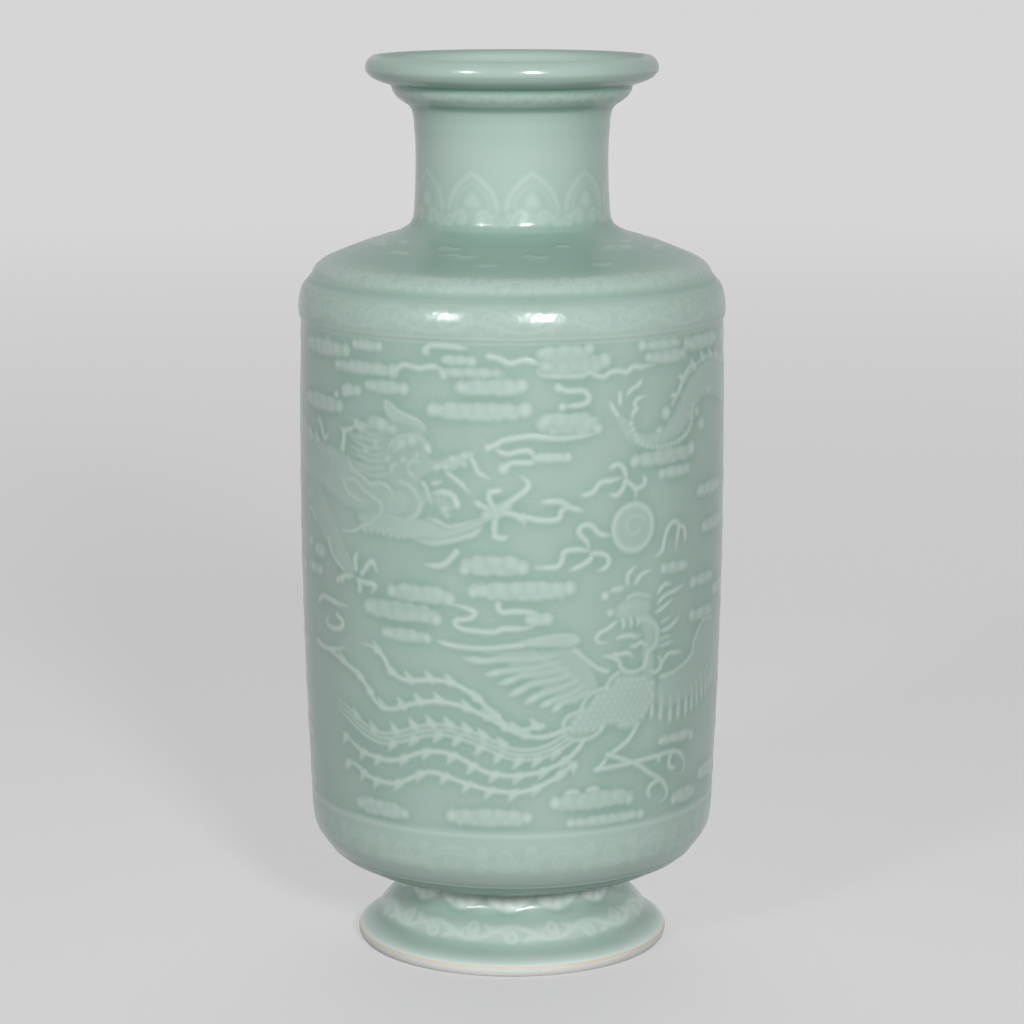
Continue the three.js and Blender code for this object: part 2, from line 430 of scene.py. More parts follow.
def inside_depth(s, v, ring):
    """How deep each point lies inside a closed ring: negative outside."""
    inside = np.zeros(s.shape, bool)
    nearest = np.full(s.shape, np.inf)
    for (s0, v0), (s1, v1) in zip(ring[:-1], ring[1:]):
        ds = s1 - s0
        dv = v1 - v0
        square = ds * ds + dv * dv
        if square < TINY:
            continue
        along = np.clip(((s - s0) * ds + (v - v0) * dv) / square, 0, 1)
        nearest = np.minimum(nearest, (s - s0 - along * ds) ** 2 + (v - v0 - along * dv) ** 2)
        crosses = (v0 > v) != (v1 > v)
        if dv:
            inside ^= crosses & (s < ds * (v - v0) / dv + s0)
    return np.where(inside, 1, -1) * np.sqrt(nearest)


# Motifs

CURL_POINTS = 15
CURL_EYE = 0.15  # the share of a curl's radius at which it starts


def curl(sheet, s, v, radius, turns, start, way, width, height):
    """A small spiral that opens from its middle."""
    points = []
    for step in range(CURL_POINTS):
        along = step / (CURL_POINTS - 1)
        angle = start + way * along * turns * 2 * math.pi
        reach = radius * (CURL_EYE + (1 - CURL_EYE) * along)
        points.append((s + reach * math.cos(angle), v + reach * math.sin(angle)))
    sheet.stroke(points, width, height, thin_start=0.2)


def both_curls(sheet, out, v, radius, turns, start, way, width, height):
    """A curl on each side of the middle of a repeat. The two turn opposite ways."""
    for side in (-1, 1):
        curl(sheet, sheet.width / 2 + side * out, v, radius, turns, start, way * side, width, height)


def ellipse(s, v, across, up):
    """Sixteen points round an ellipse."""
    turns = np.arange(16) / 16 * 2 * math.pi
    return [(s + across * math.cos(turn), v + up * math.sin(turn)) for turn in turns]


SCALLOP = 8.5  # mm round a bank of cloud for each scallop of its edge
SCALLOP_DEPTH = 0.12
BANK_END = 0.72  # below 1, a bank's ends are blunter than an ellipse's
LOBE_STEP = 5.2


def cloud_pad(sheet, left, right, low, high):
    """The low scalloped pad of a bank of cloud, higher at its left end."""
    middle = (left + right) / 2
    level = (low + high) / 2
    half = (right - left) / 2
    rise = (high - low) / 2
    scallops = max(5, int(round((half + rise) * 4 / SCALLOP)))
    outline = []
    for step in range(scallops * 4):
        angle = 2 * math.pi * step / (scallops * 4)
        scallop = 1 - SCALLOP_DEPTH * (1 - abs(math.sin(scallops * angle / 2)))
        flat = abs(math.cos(angle)) ** BANK_END * math.copysign(1, math.cos(angle))
        outline.append((middle + half * flat * scallop, level + rise * math.sin(angle) * scallop))
    sheet.pad(outline)
    sheet.dab(left + rise * 0.75, level, rise * 0.7, LOW + 0.08)


def cloud_lobes(sheet, low, high, lobes, knobs):
    """Soft lobes side by side on a pad, a lower row between them, and knobs at the ends."""
    for s, v, radius in lobes:
        sheet.puff(s, v, radius * 1.3)
        sheet.puff(s + radius, low + radius * 0.75, radius * 0.85, LOBE * 0.7)
        sheet.puff(s - radius * 0.3, high - radius * 0.6, radius * 0.7, LOBE * 0.7)
    for s, v, radius in knobs:
        sheet.dab(s, v, radius * 1.08)


def even_lobes(left, right, low, high):
    """Lobes in a row along a bank of cloud, and its knob."""
    count = int((right - left) / LOBE_STEP)
    step = (right - left) / (count + 0.6)
    lobes = []
    for index in range(count):
        sway = 0.5 * math.sin(2.1 * index)
        lobes.append((left + step * (index + 0.8), (low + high) / 2 + sway, (high - low) * 0.34))
    return lobes[:-1], lobes[-1:]


THORN_LEAN = 2.2  # how far a thorn's tip stands left of its root
THORN_LENGTH = 3.1


def thorns(sheet, line, tips, side):
    """Broad teeth with their tips at the given s, above a streamer for side 1 and below it for -1."""
    path = even(smooth(line, 8), 0.3)
    for tip in tips:
        s, v = path[np.argmin(np.abs(path[:, 0] - tip - THORN_LEAN))]
        for root, width in ((-0.9, 2.6), (0.5, 3.0)):
            edge = [(s + root, v), (tip, v + side * THORN_LENGTH)]
            sheet.stroke(edge, width, LINE, 0, 1.0, curve=False)


def offset(points, distance):
    """The line moved sideways by a distance."""
    line = even(smooth(points, 8), 1.0)
    way = np.gradient(line, axis=0)
    way /= np.hypot(*way.T)[:, None]
    return line + distance * np.stack([-way[:, 1], way[:, 0]], 1)


def ribbon(sheet, points, widths, height, edge, rim):
    """A raised limb or body along a centre line, with its width at each point."""
    line = smooth(points, 8)
    spread = smooth([(index, width) for index, width in enumerate(widths)], 8)[:, 1]
    way = np.gradient(line, axis=0)
    way /= np.hypot(*way.T)[:, None]
    side = np.stack([-way[:, 1], way[:, 0]], 1) * spread[:, None] / 2
    outline = np.vstack([line + side, (line - side)[::-1]])
    sheet.pad([tuple(point) for point in outline[::4]], height, edge, rim)


def scales_along(sheet, points, widths, size, height):
    """Rows of fish scales on a body, laid over its raised shape."""
    line = smooth(points, 8)
    spread = smooth([(index, width) for index, width in enumerate(widths)], 8)[:, 1]
    run = even(np.column_stack([line, spread]), size * 0.62)
    for index in range(1, len(run) - 1):
        s, v, wide = run[index]
        ds = run[index + 1][0] - run[index - 1][0]
        dv = run[index + 1][1] - run[index - 1][1]
        length = math.hypot(ds, dv)
        ds, dv = ds / length, dv / length
        count = int((wide - 1.6) / size)
        for place in range(-count, count + 1):
            across = place * size / 2
            if (place + count + index) % 2 or abs(across) > wide / 2 - 1.1:
                continue
            arc = []
            for turn in (-1.25, -0.7, 0.0, 0.7, 1.25):
                forward = math.cos(turn) * size * 0.5
                sideways = math.sin(turn) * size * 0.5 + across
                arc.append((s + ds * forward - dv * sideways, v + dv * forward + ds * sideways))
            lay(sheet, arc, 0.75, height)


def lay(sheet, points, width, height):
    """A fine line on top of what was there when the sheet was frozen."""
    for s, v in even(smooth(points, 6), 0.4):
        sheet.puff(s, v, width * 0.6, height)


# The drawing on the body, in mm on the unrolled sheet: s from the front line, v above the foot

PEARL = (46.3, 172.3)
PEARL_RADIUS = 9.9


def pearl(sheet):
    s, v = PEARL
    sheet.pad(ellipse(s, v, PEARL_RADIUS, PEARL_RADIUS), 0.2, 1.5, 0.22, 1.9)
    curl(sheet, s + 0.4, v + 0.2, 4.8, 1.35, 2.6, -1, 2.0, 0.34)


PEARL_FLAMES = [
    [(24.7, 185.7), (28, 186), (30, 187), (32.5, 189.8), (37, 190.3), (41, 191)],
    [(36, 194.5), (38.5, 195.8), (41, 195.3), (42.5, 192.5), (43, 190)],
    [(36, 185.5), (39, 184.8), (41.5, 187), (42.5, 189.5), (44.5, 188.5), (47, 186), (46.8, 183)],
    [(47, 186.5), (50, 187), (51.3, 189), (50.3, 190.8)],
    [(36.6, 170.3), (32.2, 171.2), (28.8, 174.5), (25.5, 174.5), (24.3, 172), (27.2, 168.7), (28, 165.3)],
    [(28, 165), (24, 166), (19, 165.5), (18, 162.5), (16, 160), (8, 160)],
    [(29, 164), (28.5, 162), (25, 160), (21, 158.5)],
    [(28.5, 164.5), (32, 164), (35, 163), (36, 160.5), (34.5, 158.5), (31.5, 157.7)],
    [(56.3, 160.3), (59.7, 162), (61.3, 167), (63, 170.3), (66.3, 172), (68.8, 170.3), (68, 165.3),
     (67.2, 161.2)],
    [(68.8, 170.3), (72.2, 168.7), (73, 163.7)],
]


def flames(sheet):
    sheet.trail(PEARL_FLAMES, 1.9, thin_end=0.2)


PHOENIX_TAIL = {
    "top": [(11.3, 101.2), (1.3, 100), (-5.3, 104.5), (-13.7, 112.3), (-22, 116.7), (-30.3, 117.3),
        (-40.3, 116.2), (-47, 118.7), (-50.3, 123.7), (-55.3, 126.7), (-61.2, 127.3)],
    "second": [(21.3, 100), (11.3, 97), (1.3, 99), (-8.7, 104.5), (-18.7, 108.3), (-27.8, 109.5),
        (-37, 107.8), (-47, 104.5), (-53.7, 105.7), (-58.7, 111.2), (-63.7, 115.3), (-72, 118.7),
        (-82, 121.2), (-93.7, 121.2)],
    "middle": [(21.3, 96.2), (11.3, 91.2), (1.3, 90.7), (-7, 93.7), (-15.3, 97), (-25.3, 99),
        (-33.7, 97.8), (-43.7, 94.5), (-52, 92.8), (-60.3, 94.5), (-68.7, 98.7), (-77, 102)],
    "fourth": [(27, 95), (24, 91), (20, 88), (15, 85.5), (10, 83.8), (5, 83), (0, 82.5), (-5, 83),
        (-10, 84), (-15, 86.5), (-20, 89), (-25, 90.3), (-30, 90.5), (-35, 89.5), (-40, 87.5),
        (-45, 85.5), (-50, 84.7), (-55, 85), (-60, 85.5), (-65, 87), (-70, 89.5), (-75, 91)],
    "bottom": [(23, 86), (19, 83.3), (15, 80.7), (10, 78.3), (5, 76.7), (0, 76.3), (-5, 76.8),
        (-10, 77.5), (-15, 78.7), (-20, 80), (-25, 81.5), (-30, 82.5), (-35, 81.5), (-40, 79),
        (-45, 76.7), (-50, 76), (-58, 76.5), (-62, 78), (-66, 80), (-70, 80.3), (-75, 78)],
}

# The thorns of the tail, listed where their tips show in the photograph, as (column, row) in
# pixels, with the side of the streamer that they stand on
PHOENIX_THORNS = {
    "top": (1, [
        (375, 645), (388, 660), (405.6, 673), (426, 676), (445.6, 677), (471, 685), (490, 697),
        (509.7, 712), (530.6, 722),
    ]),
    "second": (1, [
        (367, 672), (379, 688), (397.6, 700), (415, 697), (434, 697), (461.6, 705), (481.8, 720),
        (500, 730), (519, 735),
    ]),
    "fourth": (-1, [
        (343, 735), (359, 748), (373.5, 757), (399, 763), (421.6, 755), (447, 757), (466.5, 767),
        (489, 774), (513, 777), (538.5, 773), (561, 763),
    ]),
    "bottom": (-1, [
        (344.7, 763), (359, 773), (372, 783), (392.8, 788), (415, 780), (439, 777), (461.6, 787),
        (484, 795), (508, 799), (532, 795), (556, 780), (574, 763),
    ]),
}
MIDDLE_THORNS = {
    1: [
        (354, 705), (370, 722), (391, 729), (409, 725), (426, 719), (444, 718), (461.6, 726),
        (477.7, 736), (497, 746),
    ],
    -1: [
        (388, 745), (409, 742), (433, 737), (452, 740), (474.5, 752), (493.7, 760), (513, 762),
        (532, 760), (551, 754),
    ],
}
LEFT_THORNS = (-74, -64)  # on the second streamer, left of those that were picked
MIDDLE_WIDTH = 1.9  # from the middle of the middle streamer to its outer lines
READ_WALL = 77.3  # the wall's and the sheet's radius when the thorns were read
READ_SHEET = 78


def seen_at(column, row):
    """How far round the sheet a pixel of the photograph shows it, to a tenth of a millimetre."""
    turn = np.radians(np.linspace(-85, 85, 1701))
    tilt = math.radians(CAMERA_TILT)
    away = CAMERA_BACK - READ_WALL * np.cos(turn)
    slope = (row - PHOTO_MIDDLE[1]) / PHOTO_FOCUS
    down = math.sin(tilt) + slope * math.cos(tilt)
    drop = away * down / (math.cos(tilt) - slope * math.sin(tilt))
    depth = away * math.cos(tilt) + drop * math.sin(tilt)
    shown = PHOTO_MIDDLE[0] + PHOTO_FOCUS * READ_WALL * np.sin(turn) / depth
    return round(READ_SHEET * float(turn[np.argmin(np.abs(shown - column))]), 1)


def phoenix_tail(sheet):
    for name, (side, pixels) in PHOENIX_THORNS.items():
        sheet.stroke(PHOENIX_TAIL[name], 1.8, LINE, 0, 0.12)
        thorns(sheet, PHOENIX_TAIL[name], [seen_at(*pixel) for pixel in pixels], side)
    thorns(sheet, PHOENIX_TAIL["second"], LEFT_THORNS, 1)
    middle = PHOENIX_TAIL["middle"]
    sheet.stroke(middle, 1.3, 0.36, 0, 0.1)
    for side, pixels in MIDDLE_THORNS.items():
        line = offset(middle, -side * MIDDLE_WIDTH)
        sheet.stroke(line, 1.3, 0.36, 0, 0.1, curve=False)
        thorns(sheet, line[::4], [seen_at(*pixel) for pixel in pixels], side)


PHOENIX_BODY = [
    (19.3, 98), (21, 104.5), (26, 108), (31, 113), (36, 115), (40, 118.8), (47, 118.5), (53, 117.5),
    (58, 114), (58, 107), (54, 101), (50, 97.5), (44, 96.5), (38, 99), (33, 97.5), (27, 95.5), (22, 95.8),
]
PHOENIX_BODY_EDGE = [
    (40.5, 118.8), (38, 117.5), (36, 115), (35.3, 113.8), (31, 113), (28, 111), (26, 108), (25, 106),
    (21, 104.5), (19, 101.5), (19.3, 98), (21, 96), (25, 95.2), (30, 95.8), (33.5, 98), (35, 100),
]
PHOENIX_LEGS = [
    [(32, 83.3), (43, 83.8), (55, 84.5), (65, 84.8), (70, 84.5), (74.5, 82.5), (77, 79), (77, 76.5),
     (75.5, 75.2)],
    [(36.5, 88.5), (42, 86.5), (50, 83), (56, 79), (62, 75.5), (65.5, 72), (66.5, 69), (65, 67),
     (63, 66.8)],
    [(69, 85), (67, 82), (67.5, 79), (71, 78)],
    [(60, 84.5), (61.5, 82.5)],
    [(33, 83.5), (36.5, 87)],
    [(61, 75), (57.5, 74), (56, 71.5), (57.5, 69)],
    [(49.7, 98.7), (46.3, 93.7), (41.3, 90.3), (36.5, 88.2)],
]


def phoenix_body(sheet):
    sheet.pad(PHOENIX_BODY, 0.2, 2.4, 0.04, 1.1)
    sheet.stroke(PHOENIX_BODY_EDGE, 1.6, 0.36)
    neck = [(53, 115), (54.2, 119), (53.5, 125), (54.5, 131), (52, 138), (48, 143)]
    sheet.stroke(neck, 6.0, 0.2)
    sheet.trail(PHOENIX_LEGS, 1.9, LINE, 0, 0.2)
    sheet.freeze()
    ring = PHOENIX_BODY + PHOENIX_BODY[:1]
    for row in range(10):
        for column in range(14):
            s = 21 + column * 2.8 + 1.4 * (row % 2)
            v = 97 + row * 2.3
            if inside_depth(np.array([s]), np.array([v]), ring)[0] > 1.5:
                sheet.puff(s, v, 1.5, 0.2)


PHOENIX_HEAD_LINES = [
    [(39.8, 138.5), (36, 136), (32.5, 134.5), (31.3, 132.5), (32.5, 131), (35.5, 130.7)],
    [(39.5, 132), (44, 132.5), (48, 131.7), (50.5, 132)],
    [(41.5, 139.2), (42.6, 137), (42, 135.2)],
    [(44.8, 139.5), (45.8, 137.2), (45.2, 135.4)],
    [(48, 139.3), (49, 137.2), (48.4, 135.6)],
    [(45.5, 128.5), (48, 128.2), (50, 129.2), (53, 127.8), (54.5, 128)],
    [(55, 118), (57, 116.8), (59.5, 117.5), (60.5, 119), (60, 121.5), (58.5, 122.8)],
    [(60.5, 119), (62, 121), (64.5, 122.8), (68, 122.6), (72.5, 122.2)],
    [(34, 125.8), (38, 125), (40.5, 123.5), (41.5, 121), (43.5, 119.2), (47, 118.5), (50.5, 119),
     (52.5, 121), (53.5, 125)],
    [(38, 126.5), (40.5, 125.8), (44, 126), (46, 125), (46.8, 123.8)],
    [(47, 151), (50, 154.5), (55, 155.5)],
    [(44, 151), (44, 155), (47.5, 158)],
]
PHOENIX_PLUMES = [
    [(58, 146.3), (60, 148.5), (62, 149.3), (65, 149)],
    [(58, 142.5), (61, 144.8), (65, 145.8), (69, 146.5), (72, 147.7)],
    [(57, 139.3), (60, 140.3), (63, 141.8), (66, 143)],
    [(60, 132), (64, 132.5), (67, 134), (70, 136)],
]
PHOENIX_FAINT_PLUMES = [
    [(60, 135.3), (65, 136.5)],
    [(59, 129), (65, 129.6)],
    [(58.5, 126.5), (67.5, 127)],
]

PHOENIX_HEAD = [
    (38, 140), (39.2, 144), (44, 146.8), (50, 146.3), (54.5, 144), (54, 140), (49, 138.4), (42, 138),
]


def phoenix_head(sheet):
    sheet.pad(PHOENIX_HEAD, 0.2, 2.4, 0.06, 1.0)
    sheet.pad([(35.6, 149), (37.5, 151.3), (41.5, 151.5), (42.8, 150), (40, 148.6)], 0.28, 1.0, 0.05)
    for s, v, radius in ((34.5, 148.2, 1.8), (36.7, 141.7, 1.5), (41.6, 143.2, 1.0)):
        sheet.dab(s, v, radius)
    sheet.trail(PHOENIX_HEAD_LINES, 1.5)
    sheet.stroke([(50, 138), (55, 136.3), (57.8, 133), (58, 130), (56.8, 127), (54, 125.4)], 3.0, 0.34)
    sheet.stroke([(43, 141.6), (44.6, 143.2), (47, 143.4), (49, 142)], 1.2, 0.34)
    sheet.stroke([(44, 146.6), (48, 147.4), (53.5, 146)], 1.4, 0.3)
    sheet.stroke([(53.5, 125), (53, 122), (52, 119.5)], 2.3)
    sheet.trail(PHOENIX_PLUMES, 1.6)
    sheet.trail(PHOENIX_FAINT_PLUMES, 1.4, 0.28)


WING_ARM = [
    (-27.8, 132.3), (-22, 131.2), (-15, 130.6), (-8, 131), (0, 132.2), (5, 133.8), (10, 135), (16, 135.8),
    (21, 135.6), (24.4, 134.2), (25.4, 132.3), (23.6, 130.6), (19, 130), (12, 130.3), (5, 130.6),
    (0, 130), (-8, 129.6), (-15, 129.7), (-22, 130.3),
]
FEATHER_TIPS = [
    [(-4, 126.3), (-10, 125.6), (-17.5, 126.2)],
    [(-2, 122), (-6, 121.2), (-9.7, 120.4)],
    [(4, 120.3), (0, 118.7), (-4.5, 117.2)],
    [(7, 117), (3, 114.8), (-1, 113)],
    [(11.5, 113.5), (8, 111.8), (4.8, 110.1)],
    [(16, 111), (13, 109.8), (10.5, 108.7)],
    [(18.5, 109.8), (17, 108.3), (14.8, 106.7)],
]

WING = [
    (-14, 130), (0, 130.5), (10, 130.5), (24, 131), (28, 126), (31, 120), (33, 114), (28, 111),
    (24, 107.5), (19, 109.5), (16.5, 111), (12, 113.5), (8, 117), (4, 120.3), (-1, 122), (-4, 126.3),
    (-10, 127.5),
]

WING_EDGES = [
    (1.8, LINE, 0.1, 0, [(-27.5, 132), (-22, 130.8), (-15, 130.2), (-8, 130.3), (0, 131.2), (3.8, 131.4)]),
    (2.5, 0.26, 0.1, 0.2, [(6.5, 129.5), (10, 126.5), (15, 123.5), (20, 121), (25, 117.5)]),
    (1.4, 0.4, 0, 0, [(22.8, 129), (26, 126.3), (29, 123.8), (32, 121.5), (36, 120)]),
]


def left_wing(sheet):
    sheet.pad(WING, 0.15, 2.2, 0)
    sheet.pad(WING_ARM, 0.26, 1.4, 0.1)
    for width, height, thin_start, thin_end, points in WING_EDGES:
        sheet.stroke(points, width, height, thin_start, thin_end)
    for index, tip in enumerate(FEATHER_TIPS):
        root = (17 + 2.1 * index, 127.5 - 2.3 * index)
        middle = ((tip[0][0] + root[0]) / 2, (tip[0][1] + root[1]) / 2 - 0.5)
        sheet.stroke([root, middle, *tip], 2.8, 0.3, 0.1, 0.1)
        sheet.stroke(tip, 2.2, LINE, 0.5, 0.4)


RIGHT_WING = [
    (57, 107), (60.5, 114.7), (66, 115), (74, 117.2), (80, 121.5), (82.5, 126.8), (88, 131.2), (97, 130),
    (104, 122), (106, 113), (101, 108), (90, 105), (75, 103), (62, 102.5),
]
RIGHT_WING_EDGE = [
    (60.5, 114.7), (66, 115), (70, 116), (74, 117.2), (78, 119.2), (80, 121.5), (80.7, 124),
    (82.5, 126.8), (88, 131.2), (97, 130.5),
]
RIGHT_WING_TIPS = [
    (56.3, 99.5), (61, 97.8), (66.3, 96.2), (71.3, 96.5), (76.3, 97), (80.5, 97.8), (84.7, 99),
    (88.8, 100.3), (93, 101.2), (96.3, 102.8), (99.7, 104.5),
]


def right_wing(sheet):
    sheet.pad(RIGHT_WING, 0.14, 2.0, 0.02)
    sheet.stroke(RIGHT_WING_EDGE, 1.8, 0.36)
    for index, (s, v) in enumerate(RIGHT_WING_TIPS):
        lean = 0.5 - index * 0.42
        sheet.stroke([(s + lean, v + 11), (s + 0.2, v + 5), (s, v)], 2.1, 0.28, 0.1, 0.15)
        sheet.stroke([(s + lean * 0.5, v + 6), (s, v)], 1.7, LINE, 0.2, 0.3)


def phoenix(sheet):
    phoenix_tail(sheet)
    left_wing(sheet)
    right_wing(sheet)
    phoenix_body(sheet)
    phoenix_head(sheet)


# The dragon's head and mane
HEAD_PADS = [
    [(-47.8, 218.9), (-46, 217), (-43, 214.8), (-39, 213.2), (-35, 212), (-32.3, 209.8), (-31.4, 208),
     (-33.5, 208.5), (-37, 210), (-41, 210.6), (-44.5, 210.6), (-47, 212), (-48.6, 214.5)],
    [(-56.7, 211), (-54, 212.6), (-49.5, 212.3), (-46, 210.5), (-45, 207.5), (-48, 206.5), (-53, 206.8),
     (-56.3, 208.3)],
    [(-46.2, 203), (-44, 205.3), (-40, 206.8), (-35, 207.3), (-31, 206), (-32, 204), (-36, 203.5),
     (-40, 202.5), (-42, 200), (-44.5, 199.5)],
    [(-33.5, 204), (-30.5, 205.3), (-29.3, 203), (-29, 201), (-30.8, 200.8), (-33, 202)],
    [(-28, 197.5), (-24, 199.3), (-20, 200.8), (-16.5, 201.5), (-14.2, 201.3), (-15.2, 199.3), (-18, 197),
     (-20.5, 194.8), (-24, 195), (-28, 195)],
    [(-29, 186.3), (-25, 186.8), (-22.5, 187.8), (-20.5, 185.5), (-18.8, 182.5), (-19, 181.2),
     (-20.3, 181.6), (-22, 184), (-25, 185.2), (-28.5, 185.2)],
]
HEAD = [
    (-48, 219), (-43, 215), (-37, 213), (-31.5, 209), (-31, 205), (-28.5, 203), (-29, 199.5),
    (-23, 200.5), (-15, 202), (-15, 198.5), (-20, 194.5), (-27, 194), (-33, 190), (-30, 186.5),
    (-24, 187), (-21, 184), (-19, 181), (-24, 178.5), (-30, 182), (-34, 176), (-45, 174), (-52, 181),
    (-57, 190), (-62, 198), (-60, 206), (-57, 212), (-49, 212),
]
WHISKERS = [
    [(-14.8, 200.5), (-13, 196.5), (-12, 194.5), (-8, 192.2)],
    [(-24, 194.5), (-20, 191.5), (-18, 190), (-15.5, 187)],
]
FACE_LINES = [
    [(-33.5, 190.5), (-31.5, 188), (-30.3, 185), (-29.3, 182)],
    [(-43.5, 190), (-39, 188.7), (-36, 186.5), (-34.5, 184), (-34.8, 181)],
    [(-46.5, 200.5), (-45.5, 203), (-43, 205.2), (-39, 206.6), (-35, 206.9), (-32, 205.8)],
    [(-39, 194.5), (-37.5, 197), (-35, 197.6), (-33, 196.5)],
    [(-38.6, 194), (-37, 192.3), (-35, 191.8)],
    [(-48, 218.5), (-48.2, 214.5)],
    [(-47, 218.3), (-43, 215), (-37, 213), (-33, 211), (-31.3, 208.3)],
    [(-29, 189.8), (-27.5, 190), (-25.8, 190.7)],
    [(-43, 196), (-45.5, 194.5), (-45, 191.5)],
    [(-33, 183.5), (-34.5, 179), (-37, 176.5), (-41, 176.5)],
]
FACE_LUMPS = [
    (-60, 205.6, 1.6), (-57.4, 199.4, 1.5), (-52.6, 202.4, 1.6), (-47.4, 197.4, 1.7), (-40.6, 197.6, 1.5),
    (-21.5, 199.2, 1.5), (-17, 201, 1.4), (-14.6, 201.3, 1.3), (-17, 197.2, 1.6), (-27.5, 195.6, 1.7),
    (-24, 195.8, 1.5), (-24.6, 180.4, 1.9), (-23.6, 178.6, 1.5), (-30.8, 202.4, 1.6), (-20, 182.4, 1.6),
    (-50, 209.5, 2.6), (-41, 203, 2.4), (-37, 204.4, 2.2), (-45, 208, 2.2),
]
MANE = [
    [(-57, 207.6), (-61, 207.8), (-64.3, 207.3)],
    [(-63, 207.6), (-62, 210.3)],
    [(-64, 206.8), (-69.3, 205.3), (-71.5, 206.4)],
    [(-66.8, 196.3), (-65.5, 193.5), (-64.6, 191.6), (-60, 189.8), (-55.5, 187.3), (-51, 188),
     (-47.5, 187), (-45, 184.5), (-45.8, 182.3), (-49, 181.2)],
    [(-72.5, 188.3), (-70, 187), (-68.5, 185), (-66, 182.5), (-61, 180.8), (-55, 180.2)],
    [(-70, 184.5), (-68.3, 187), (-65, 188), (-61.5, 187), (-59, 185), (-54.5, 182.8), (-50.8, 181),
     (-50, 178.8), (-50.8, 176.5), (-53.5, 174.3), (-56, 172.3), (-59.5, 171.3), (-62, 169.8),
     (-66, 168.5), (-71, 168)],
    [(-87, 208), (-85, 205.5), (-83, 201.5), (-81, 201), (-79, 203.5)],
]
FAINT_HAIR = [
    [(-48, 205), (-55, 204), (-62, 203.5), (-67, 204.5)],
    [(-49, 201), (-57, 200.5), (-63, 202)],
    [(-49, 198), (-55, 196), (-60, 197.5), (-63, 199.5)],
    [(-48, 195), (-54, 193), (-60, 192.8), (-64, 194.5)],
    [(-46, 192), (-52, 190.6), (-57, 190.4)],
    [(-44, 186), (-40, 184), (-38, 180.5)],
]


def dragon_head(sheet):
    sheet.pad(HEAD, 0.13, 2.6, 0)
    for ring in HEAD_PADS:
        sheet.pad(ring, 0.25, 1.5, 0.08, 0.8)
    sheet.trail(MANE, 1.8, 0.4)
    sheet.trail(FAINT_HAIR, 1.8, 0.24, 0.2, 0.3)
    for strand in range(8):
        root = 209.4 - strand * 2.5
        hair = [(-48, root), (-53.5, root - 1.3), (-59, root - 0.5), (-65, root + 0.7)]
        sheet.stroke(hair, 1.0, 0.3, 0.2, 0.3)
    sheet.trail(FACE_LINES, 1.6, 0.34)
    chin = [(-29, 186.3), (-25, 186.8), (-21.5, 186), (-20, 183.5), (-19, 181.3)]
    sheet.stroke(chin, 2.5, LINE, 0.3, 0.2)
    sheet.trail(WHISKERS, 1.7, KNOB)
    sheet.stroke([(-69.3, 205.3), (-69.3, 202), (-70.2, 199.2)], 2.2)
    sheet.freeze()
    for s, v, radius in FACE_LUMPS:
        sheet.puff(s, v, radius, 0.2)
    for s, v, radius in ((-30.3, 201.5, 1.2), (-35, 199.7, 1.1), (-70, 198.7, 1.6), (-64.6, 191.6, 1.6)):
        sheet.dab(s, v, radius, LINE)


ARM = [
    (-34, 177), (-30, 176.5), (-24, 174.5), (-17, 176.5), (-9, 179.3), (-7, 178.3), (-12, 174),
    (-18, 171), (-25, 168.5), (-33, 168.5), (-45, 169), (-58, 170.5), (-62, 176), (-50, 179), (-42, 178),
]
CLAWS = [
    [(-6, 181), (-8, 184.5), (-8.3, 188.4)],
    [(-7.5, 187.5), (-5, 188), (-3.5, 188)],
    [(-2, 183), (2, 186), (5.2, 188.5), (5.6, 191), (3, 193.3)],
    [(-3, 180), (1, 179.3), (4, 177), (4.2, 175.6)],
    [(-6, 178), (-6.3, 174), (-5.6, 171.3)],
    [(-6.3, 171.5), (-3.5, 170.8), (-1.8, 171.3)],
    [(-9, 181.5), (-12, 183.2), (-13.5, 184)],
    [(-60, 153.5), (-57, 157), (-55, 158.7), (-53.5, 157), (-52.5, 155)],
    [(-62, 150.8), (-59, 150.5), (-53.5, 150), (-55.5, 147)],
    [(-61, 150), (-61.5, 146)],
    [(-63, 155), (-63.5, 158.5), (-62, 161)],
    [(-74, 149), (-70, 151), (-64, 152)],
    [(-88.7, 138.7), (-84, 141), (-74.6, 140), (-68, 140)],
    [(-75, 135.5), (-71.5, 133.5), (-73, 131), (-79, 130), (-83, 131.5), (-81, 134)],
    [(-91.5, 123), (-86, 121.5), (-78, 122), (-70.5, 124)],
]

ARM_LINES = [
    (1.6, 0.34, 0.2, 0.3, [(-31, 177.2), (-27, 176), (-23.5, 174.5), (-20, 174.8), (-14, 177)]),
    (2.2, 0.36, 0.3, 0.1, [
        (-36, 168.9), (-30, 168), (-24, 168.9), (-18, 170.6), (-14, 172), (-11, 174.4),
    ]),
    (4.4, 0.36, 0, 0, [(-9, 179), (-5.5, 180.5), (-2, 182.5)]),
    (2.2, 0.4, 0.3, 0, [(-32, 160), (-27, 159.8), (-24, 161), (-21.5, 163.5), (-20, 165.2)]),
    (1.5, 0.4, 0, 0, [(-80, 164), (-77, 158), (-70, 153.5)]),
    (1.6, 0.4, 0.2, 0.3, [(-98, 173), (-94, 172), (-90, 168)]),
]
FAR_LEG = [(-96, 184), (-88, 176), (-80, 168), (-72, 159), (-63, 152.5)]


